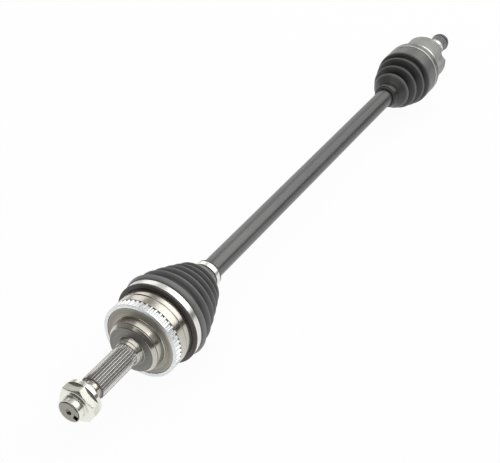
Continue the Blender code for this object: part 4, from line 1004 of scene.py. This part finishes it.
def make_nut():
    """The staked hub nut."""
    back = rounded([
        (NUT_BACK, NUT_BORE),
        (NUT_BACK, NUT_FLANGE, EDGE),
        (NUT_HEX_BACK + 2 * HAIR, NUT_FLANGE + 2 * HAIR, 2 * FINE),
        (NUT_HEX_BACK, NUT_CORNER),
    ])
    chamfer_start = (NUT_HEX_FRONT + NUT_CHAMFER, NUT_CORNER)
    hexagon = [(NUT_HEX_BACK - HAIR, NUT_CORNER)]
    hexagon += run(chamfer_start, (NUT_HEX_FRONT, NUT_FACE), NUT_CHAMFER_STEPS)
    front = rounded([
        (NUT_HEX_FRONT, NUT_FACE - 2 * HAIR),
        (NUT_HEX_FRONT, NUT_COLLAR, 3 * FINE),
        (NUT_HEX_FRONT - COLLAR_ROOT, NUT_COLLAR),
        (NUT_FRONT + STAKE_LENGTH, NUT_COLLAR),
        (NUT_FRONT + STAKE_LENGTH * 0.6, NUT_COLLAR),
        (NUT_FRONT + STAKE_LENGTH * 0.3, NUT_COLLAR),
        (NUT_FRONT, NUT_COLLAR, SOFT),
        (NUT_FRONT, NUT_BORE, FINE),
        (NUT_FRONT + STAKE_LENGTH * 0.4, NUT_BORE),
        (NUT_FRONT + STAKE_LENGTH, NUT_BORE),
        (NUT_BACK, NUT_BORE),
    ])[:-1]
    nut = turned("hub_nut", shift(back + hexagon + front, OUTER), NUT_SEGMENTS, nut_shape, NUT_TURN)
    dress(nut, "zinc_yellow", "axle_nut", "outer_joint")


# Pieces of the gearbox end


def lobed(angle):
    """Outer radius of the three-lobed housing."""
    off = abs(off_angle(angle, math.pi + LOBE_TURN, LOBE_COUNT))
    away = max(0.0, (off - LOBE_HALF) / (math.pi / LOBE_COUNT - LOBE_HALF))
    return WEB_RADIUS + (LOBE_RADIUS - WEB_RADIUS) * (1.0 - away) ** 2


def roller_track(angle):
    """Inner radius of the housing: a round middle and three straight-sided tracks."""
    off = abs(off_angle(angle, math.pi, LOBE_COUNT))
    if off < math.asin(ROLLER_SIDE / LOBE_INSIDE):
        return LOBE_INSIDE
    if off < math.asin(ROLLER_SIDE / WEB_INSIDE):
        return ROLLER_SIDE / math.sin(off)
    return WEB_INSIDE


def housing_shape(x, radius, angle):
    """Lobes outside, roller tracks inside and teeth on the stub; a tag on the radius names the wall."""
    along = x - INNER
    if radius >= TRACK_TAG:
        flare = MOUTH_FLARE - (MOUTH_FLARE - WEB_INSIDE) * (along - HOUSING_MOUTH) / MOUTH_FLARE_DEPTH
        return max(roller_track(angle) - (radius - TRACK_TAG), flare if along < 0 else 0.0)
    if radius >= LOBE_TAG:
        return lobed(angle) - (radius - LOBE_TAG)
    if along > INNER_SPLINE_START and radius > INNER_STUB_RADIUS * 0.95:
        cut = INNER_SPLINE_DEPTH * smooth(along, INNER_SPLINE_START, INNER_SPLINE_START + SPLINE_RUNOUT)
        return radius - cut * (1 - wave(angle, INNER_SPLINE_COUNT))
    return radius


def make_housing():
    """The three-lobed tripod housing with its splined stub, and the wire clip in the stub's groove."""
    clip = INNER_STUB_END - CLIP_OFFSET
    half = GROOVE_WIDTH / 2
    stub = rounded([
        (INNER_STUB_END, 0.0),
        (INNER_STUB_END, INNER_STUB_RADIUS - 2 * HAIR, 2 * EDGE),
        (clip + half, INNER_STUB_RADIUS),
        (clip + half, CLIP_FLOOR),
        (clip - half, CLIP_FLOOR),
        (clip - half, INNER_STUB_RADIUS),
    ])
    stub += run((clip - half - FINE, INNER_STUB_RADIUS), (INNER_SPLINE_START - ROUND, INNER_STUB_RADIUS),
                INNER_SPLINE_STEPS)
    boss = rounded([
        (STUB_BOSS_END + 2 * STUB_ROOT_ROUND, INNER_STUB_RADIUS),
        (STUB_BOSS_END, INNER_STUB_RADIUS, STUB_ROOT_ROUND),
        (STUB_BOSS_END, STUB_BOSS_RADIUS, STUB_BOSS_ROUND),
        (HOUSING_BACK, STUB_BOSS_RADIUS, BACK_ROUND),
        (HOUSING_BACK, STUB_BOSS_RADIUS + BACK_FACE),
    ])
    outside = []
    shoulder_steps = CORNER_STEPS + 2
    for step in range(shoulder_steps + 1):
        turn = TURN / 4 * step / shoulder_steps
        inset = SHOULDER_ROUND * (1 - math.sin(turn))
        outside.append((HOUSING_BACK - SHOULDER_ROUND * (1 - math.cos(turn)), LOBE_TAG + inset))
    outside += [(x, LOBE_TAG) for x in (0.012, -0.004, HOUSING_MOUTH + EDGE)]
    outside.append((HOUSING_MOUTH, LOBE_TAG + EDGE))
    inside = run((HOUSING_MOUTH, TRACK_TAG), (HOUSING_FLOOR, TRACK_TAG), HOUSING_STEPS)
    base = [
        (HOUSING_FLOOR, BASE_RECESS * 1.05),
        (HOUSING_FLOOR + BASE_RECESS_DEPTH * 0.6, BASE_RECESS * 0.85),
        (HOUSING_FLOOR + BASE_RECESS_DEPTH, 0.0),
    ]
    corners = stub + boss + outside + inside + base
    housing = turned("tripod_cup", shift(corners, INNER), HOUSING_SEGMENTS, housing_shape)
    dress(housing, "housing_steel", "tripod_housing", "inner_joint")
    ring = wire_ring("stub_clip", INNER + clip, CLIP_FLOOR + SEAT_GAP + CLIP_WIRE, CLIP_WIRE, CLIP_OPENING)
    dress(ring, "spring_steel", "gearbox_circlip", "inner_joint")


def insert_shape(x, radius, angle):
    """The insert's inside follows the lobes."""
    if radius >= LOBE_TAG:
        return lobed(angle) + SEAT_GAP
    return radius


def make_insert():
    """The collar that makes the lobes round for the boot."""
    mouth = INNER + HOUSING_MOUTH
    back = mouth + INSERT_LENGTH
    corners = rounded([
        (back, INSERT_RADIUS - 2 * FINE),
        (back, INSERT_RADIUS, SOFT),
        (mouth, INSERT_RADIUS, SOFT),
        (mouth, INSERT_RADIUS - 2 * FINE),
    ])
    corners += [(mouth, LOBE_TAG), (back, LOBE_TAG)]
    insert = turned("boot_collar", corners, HOUSING_SEGMENTS, insert_shape)
    dress(insert, "insert_plastic", "boot_insert", "inner_joint")


# Boots


def crest_places(count, start, pitch, shrink, first, last, power):
    """(distance, radius) of each rib's crest on a domed line."""
    places = [0.0]
    for index in range(count - 1):
        places.append(places[-1] + pitch * shrink ** index)
    return [(start + at, first - (first - last) * (at / places[-1]) ** power) for at in places]


def ribs(crests, depth):
    """(distance, radius, tone) along the ribs: a tight crest, sloping sides and a wide fold between."""
    whole = math.hypot(1.0, CREST_ROUND) - CREST_ROUND
    line = []
    for (at, radius), (next_at, next_radius) in zip(crests, crests[1:]):
        for step in range(RIB_STEPS):
            t = step / RIB_STEPS
            fold = (math.hypot(math.sin(math.pi * t), CREST_ROUND) - CREST_ROUND) / whole
            here = radius + (next_radius - radius) * t
            line.append((at + (next_at - at) * t, here - depth * fold, 1.0 - fold))
    line.append((*crests[-1], 1.0))
    return line


def boot_tail(crest, end, neck, shoulder, lip_step, lip_drop):
    """Outside and inside of a boot's small end, from its last crest over the neck and the seat to the lip.

    neck is as named above, and shoulder is the distance before the seat, the rise and the rounding.
    """
    at, radius = crest
    lip = end - END_LIP
    small = lip - SMALL_SEAT_LENGTH
    neck_at = at + (small - at) * neck[0]
    neck_radius = SMALL_SEAT + (radius - SMALL_SEAT) * neck[1]
    mouth = (end + HAIR / 10, BAR_RADIUS + SEAT_GAP)
    outside = rounded([
        crest,
        (neck_at, neck_radius, neck[2]),
        (small - shoulder[0], SMALL_SEAT + shoulder[1], shoulder[2]),
        (small, SMALL_SEAT, FINE),
        (lip, SMALL_SEAT, FINE),
        (lip + lip_step, SMALL_SEAT + LIP_HEIGHT, EDGE / 2),
        (end, SMALL_SEAT - lip_drop, SOFT),
        mouth,
    ])[1:]
    inside = [(neck_at, neck_radius - NECK_WALL), (small + EDGE, BAR_RADIUS + SEAT_GAP), mouth]
    return [(*point, PLAIN_TONE) for point in outside], inside


def cut_line(line, low, high):
    """The stretch of a line between two distances, with its ends interpolated."""
    piece = []
    for before, after in zip(line, line[1:]):
        for edge in (low, high):
            if before[0] < edge < after[0]:
                share = (edge - before[0]) / (after[0] - before[0])
                piece.append(tuple(a + (b - a) * share for a, b in zip(before, after)))
        if low <= after[0] <= high:
            piece.append(after)
    if low <= line[0][0] <= high:
        piece.insert(0, line[0])
    return sorted(set(piece), key=piece.index)


def boot_pieces(name, node, outside, inside, place, cuts):
    """Split a boot into turned pieces where one pair of bodies hands over to the next."""
    outside = sorted([(place(at), radius, tone) for at, radius, tone in outside], key=lambda p: p[0])
    inside = sorted([(place(at), radius) for at, radius in inside], key=lambda p: p[0])
    edges = [outside[0][0]] + list(cuts) + [outside[-1][0]]
    for number, (low, high) in enumerate(zip(edges, edges[1:]), start=1):
        outer = cut_line(outside, low, high)
        inner = [(x, radius, 0.0) for x, radius in cut_line(inside, low, high)]
        piece = turned(f"{name}_{number}", outer[::-1] + inner, BOOT_SEGMENTS)
        dress(piece, "boot_rubber", node)
        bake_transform(piece)


def make_outer_boot():
    """The domed, ribbed boot from the bell to the bar."""
    seat = OUTER_FRONT + OUTER_LIP
    seat_end = seat + OUTER_SEAT_LENGTH
    crests = crest_places(OUTER_CRESTS, seat_end + OUTER_CREST_START, OUTER_PITCH, OUTER_SHRINK,
                          OUTER_FIRST_CREST, OUTER_LAST_CREST, OUTER_DOME)
    bore = BELL_RADIUS + SEAT_GAP
    lip = OUTER_SEAT + OUTER_LIP_HEIGHT
    head = rounded([
        (OUTER_FRONT, bore),
        (OUTER_FRONT, lip, 3 * FINE),
        (seat, lip, 7 * HAIR),
        (seat + HAIR, OUTER_SEAT),
        (seat_end, OUTER_SEAT, EDGE),
        (seat_end + EDGE / 2, OUTER_SEAT + OUTER_SHOULDER, 4 * FINE),
        crests[0],
    ])[:-1]
    folds = ribs(crests, OUTER_DEPTH)
    tail, tail_inside = boot_tail(crests[-1], OUTER_FRONT + OUTER_LENGTH, OUTER_NECK,
                                  (EDGE, SMALL_WALL, 4 * FINE), END_LIP * 0.1, LIP_HEIGHT)
    outside = [(*point, PLAIN_TONE) for point in head] + folds + tail
    inside = [(OUTER_FRONT, bore), (BELL_MOUTH + SEAT_GAP, bore)]
    inside += [(at, radius - BOOT_WALL) for at, radius, _ in folds] + tail_inside
    boot_pieces("wheel_boot", "outer_boot", outside, inside, lambda at: OUTER + at, OUTER_CUTS)


def make_inner_boot():
    """The ribbed boot from the tripod housing to the bar, measured from its large end."""
    crests = crest_places(INNER_CRESTS, INNER_CREST_START, INNER_PITCH, INNER_SHRINK, INNER_FIRST_CREST,
                          INNER_LAST_CREST, INNER_DOME)
    seat_end = END_LIP + INNER_SEAT_LENGTH
    groove = INNER_BAND_END + (INNER_CREST_START - INNER_BAND_END) * INNER_GROOVE_PLACE
    bore = INSERT_RADIUS + SEAT_GAP
    lip = INNER_SEAT + LIP_HEIGHT
    head = rounded([
        (0.0, bore),
        (0.0, lip, 2 * FINE),
        (END_LIP, lip, SOFT),
        (END_LIP + HAIR, INNER_SEAT),
        (seat_end, INNER_SEAT, EDGE / 2),
        (seat_end + HAIR, lip, SOFT),
        (INNER_BAND_START, INNER_BAND, INNER_BAND_ROUND),
        (INNER_BAND_END, INNER_BAND, 2 * EDGE),
        (groove, INNER_GROOVE, INNER_GROOVE_ROUND),
        crests[0],
    ])[:-1]
    outside = []
    # the tone falls in the groove after the band, painting shade there
    for at, radius in head:
        in_groove = at > INNER_BAND_END - 0.002
        rise = smooth(radius, INNER_GROOVE, INNER_BAND - ROUND) if in_groove else 1.0
        outside.append((at, radius, BAND_TONE * rise))
    folds = ribs(crests, INNER_DEPTH)
    tail, tail_inside = boot_tail(crests[-1], INNER_LENGTH, INNER_NECK, (HAIR, SMALL_WALL * 0.6, ROUND),
                                  HAIR, LIP_HEIGHT / 2)
    outside += folds + tail
    inside = [
        (0.0, bore),
        (INNER_LARGE_END - INNER - HOUSING_MOUTH + SEAT_GAP, bore),
        (INNER_BAND_START, INNER_BAND - BOOT_WALL),
        (INNER_BAND_END - EDGE, INNER_BAND - BOOT_WALL),
        (groove, INNER_GROOVE - BOOT_WALL),
    ]
    inside += [(at, radius - BOOT_WALL) for at, radius, _ in folds] + tail_inside
    boot_pieces("gearbox_boot", "inner_boot", outside, inside, lambda at: INNER_LARGE_END - at,
                INNER_CUTS[::-1])


# Clamps and the pieces inside the joints


def make_clamp(name, node, body, seat, width, middle, slot="band_steel", finish=None, front_edge=FRONT_EDGE):
    """A band clamp: a rolled strip with a lapped end and one crimped ear."""
    inner = seat + SEAT_GAP
    outer = inner + CLAMP_THICKNESS
    front = middle - width / 2
    back = middle + width / 2
    ear_half = EAR_WIDTH / 2 / outer

    def clamp_shape(x, radius, angle):
        off = off_angle(angle, EAR_ANGLE)
        ear = EAR_HEIGHT * (1 - smooth(abs(off), ear_half * 0.45, ear_half * 1.1))
        lap = 0.0
        if radius > outer - CLAMP_THICKNESS * 0.6:
            lap = LAP_HEIGHT * smooth(off, 0.0, LAP_SLOPE) * (1 - smooth(off, LAP_ANGLE, LAP_ANGLE + LAP_SLOPE))
        return radius + ear + lap

    corners = rounded([
        (back, inner),
        (back, outer, CLAMP_RIM),
        (back - EDGE, outer),
        (front + front_edge + EDGE / 2, outer),
        (front + front_edge, outer),
        (front, outer, CLAMP_RIM),
        (front, inner),
        (back, inner),
    ])[:-1]
    # edges get tone 1, which the finish paints lighter: rubbed wear, and on the grey band a painted highlight
    toned = []
    for x, radius in corners:
        at_edge = x > back - CLAMP_RIM * 1.2 or x < front + front_edge * 1.01
        toned.append((x, radius, 1.0 if at_edge else 0.0))
    dress(turned(name, toned, CLAMP_SEGMENTS, clamp_shape), slot, node, body, finish)


def make_clamps():
    """The four clamps in the middle of their boots' seats."""
    to_small = END_LIP + SMALL_SEAT_LENGTH / 2
    outer_middle = OUTER + OUTER_FRONT + OUTER_LIP + OUTER_SEAT_LENGTH / 2
    outer_small = OUTER + OUTER_FRONT + OUTER_LENGTH - to_small
    inner_middle = INNER_LARGE_END - END_LIP - INNER_SEAT_LENGTH / 2
    inner_small = INNER_LARGE_END - INNER_LENGTH + to_small
    make_clamp("wheel_boot_band", "outer_large_clamp", "outer_joint", OUTER_SEAT, OUTER_BAND_WIDTH, outer_middle)
    make_clamp("wheel_boot_small_band", "outer_small_clamp", "shaft", SMALL_SEAT, OUTER_SMALL_BAND_WIDTH,
               outer_small)
    make_clamp("gearbox_boot_band", "inner_large_clamp", "inner_joint", INNER_SEAT, INNER_BAND_WIDTH,
               inner_middle, finish="band_grey", front_edge=INNER_FRONT_HIGHLIGHT)
    make_clamp("gearbox_boot_small_band", "inner_small_clamp", "shaft", SMALL_SEAT, INNER_SMALL_BAND_WIDTH,
               inner_small, slot="band_black")


def dress_inside():
    """Finishes of the CAD pieces that stay inside the joints."""
    for name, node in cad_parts.items():
        if node.hide_render:
            continue
        sprung = any(word in name for word in ("circlip", "stop_ring", "retainer"))
        node.data.materials.clear()
        node.data.materials.append(FINISHES["spring_steel" if sprung else "hard_steel"])


# Studio


def studio_material(name):
    """An empty node material, its nodes and the surface of its output."""
    material = bpy.data.materials.new(name)
    material.use_nodes = True
    material.node_tree.nodes.clear()
    made = Nodes(material.node_tree)
    return material, made, made.node("OutputMaterial").inputs["Surface"]


def seen_share(made):
    """1 for rays that see the background directly, in a mirror or through glass, and 0 for lighting rays."""
    path = made.node("LightPath")
    total = path.outputs["Is Camera Ray"]
    for ray in ("Is Glossy Ray", "Is Transmission Ray"):
        total = made.math("MAXIMUM", total, path.outputs[ray])
    return total


def circle(radius, height, sides):
    """Level ring of points round the middle of the studio."""
    turns = [TURN * side / sides for side in range(sides)]
    return [(radius * math.cos(turn), radius * math.sin(turn), height) for turn in turns]


def make_floor():
    """A wide white floor that keeps a soft shadow."""
    floor = make_piece("floor", circle(FLOOR_RADIUS, FLOOR_HEIGHT, FLOOR_SIDES), [tuple(range(FLOOR_SIDES))])
    material, made, surface = studio_material("floor_white")
    paint = made.node("BsdfDiffuse", {"Color": FLOOR_PAINT})
    glow = made.node("Emission", {"Strength": 1.0})
    made.put(surface, made.mix_shaders(made.times(seen_share(made), FLOOR_SEEN), paint, glow))
    floor.data.materials.append(material)


def shell_ramp(made, height, stops):
    """Colour of one side of the shell by height."""
    ramp = made.node("ValToRGB", {0: height})
    ramp.color_ramp.interpolation = "EASE"
    for index, (at, colour) in enumerate(stops):
        if index < 2:
            stop = ramp.color_ramp.elements[index]
            stop.position = at
        else:
            stop = ramp.color_ramp.elements.new(at)
        stop.color = (*colour, 1.0)
    return ramp.outputs[0]


def make_shell():
    """A studio shell that only mirrors show: a dark horizon, a grey wall above it and a paler ceiling."""
    points = []
    for ring in range(SHELL_RINGS + 1):
        rise = TURN / 4 * ring / SHELL_RINGS
        height = FLOOR_HEIGHT + SHELL_RADIUS * math.sin(rise)
        points += circle(SHELL_RADIUS * math.cos(rise), height, SHELL_SIDES)
    shell = make_piece("studio_shell", points, [face[::-1] for face in between_rows(SHELL_RINGS, SHELL_SIDES)])
    material, made, surface = studio_material("studio_shell")
    place = made.node("TexCoord").outputs["Object"]
    split = made.node("SeparateXYZ", {0: place})
    height = made.math("DIVIDE", split.outputs["Z"], SHELL_RADIUS)
    towards = made.node("VectorMath", {0: place, 1: LIT_SIDE / SHELL_RADIUS}, operation="DOT_PRODUCT")
    lit = made.step(towards.outputs["Value"], *LIT_REACH)
    wall = made.mix(lit, shell_ramp(made, height, FAR_WALL), shell_ramp(made, height, LIT_WALL))
    room = made.mix(made.step(split.outputs["X"], *NEAR_REACH), NEAR_WALL, wall)
    made.put(surface, made.node("Emission", {"Color": room}).outputs[0])
    shell.data.materials.append(material)
    for ray in ("camera", "diffuse", "shadow", "transmission"):
        setattr(shell, "visible_" + ray, False)


def make_world():
    """White where it is seen and an even soft light for the rest."""
    world = bpy.data.worlds.new("studio_world")
    world.use_nodes = True
    bpy.context.scene.world = world
    made = Nodes(world.node_tree)
    light = made.node("Background", {"Color": WHITE, "Strength": WORLD_LIGHT})
    white = made.node("Background", {"Color": WHITE, "Strength": 1.0})
    surface = world.node_tree.nodes["World Output"].inputs["Surface"]
    made.put(surface, made.mix_shaders(seen_share(made), light, white))


def place_facing(name, data, side, distance):
    """Stand a lamp or camera at a distance to one side, facing the camera's target."""
    direction = Vector(side).normalized()
    holder = bpy.data.objects.new(name, data)
    holder.location = CAMERA_TARGET + direction * distance
    holder.rotation_euler = direction.to_track_quat("Z", "Y").to_euler()
    bpy.context.scene.collection.objects.link(holder)
    return holder


def make_lamp(name, side, distance, width, height, energy):
    """A soft box that faces the axle."""
    lamp = bpy.data.lights.new(name, "AREA")
    lamp.shape = "RECTANGLE"
    lamp.size = width
    lamp.size_y = height
    lamp.energy = energy
    place_facing(name, lamp, side, distance)


def make_camera():
    """The camera at the photograph's viewing angle."""
    camera = bpy.data.cameras.new("camera")
    camera.sensor_fit = "HORIZONTAL"
    camera.sensor_width = SENSOR_WIDTH
    camera.lens = FOCAL_PIXELS / IMAGE_WIDTH * SENSOR_WIDTH
    camera.clip_end = CAMERA_REACH
    bpy.context.scene.camera = place_facing("camera", camera, CAMERA_SIDE, CAMERA_DISTANCE)


make_bar()
make_race()
make_tone_ring()
make_nut()
make_housing()
make_insert()
make_outer_boot()
make_inner_boot()
make_clamps()
dress_inside()

make_floor()
make_shell()
make_world()
for lamp_name, settings in LAMPS.items():
    make_lamp(lamp_name, *settings)
make_camera()
bpy.context.scene.view_settings.view_transform = "Standard"
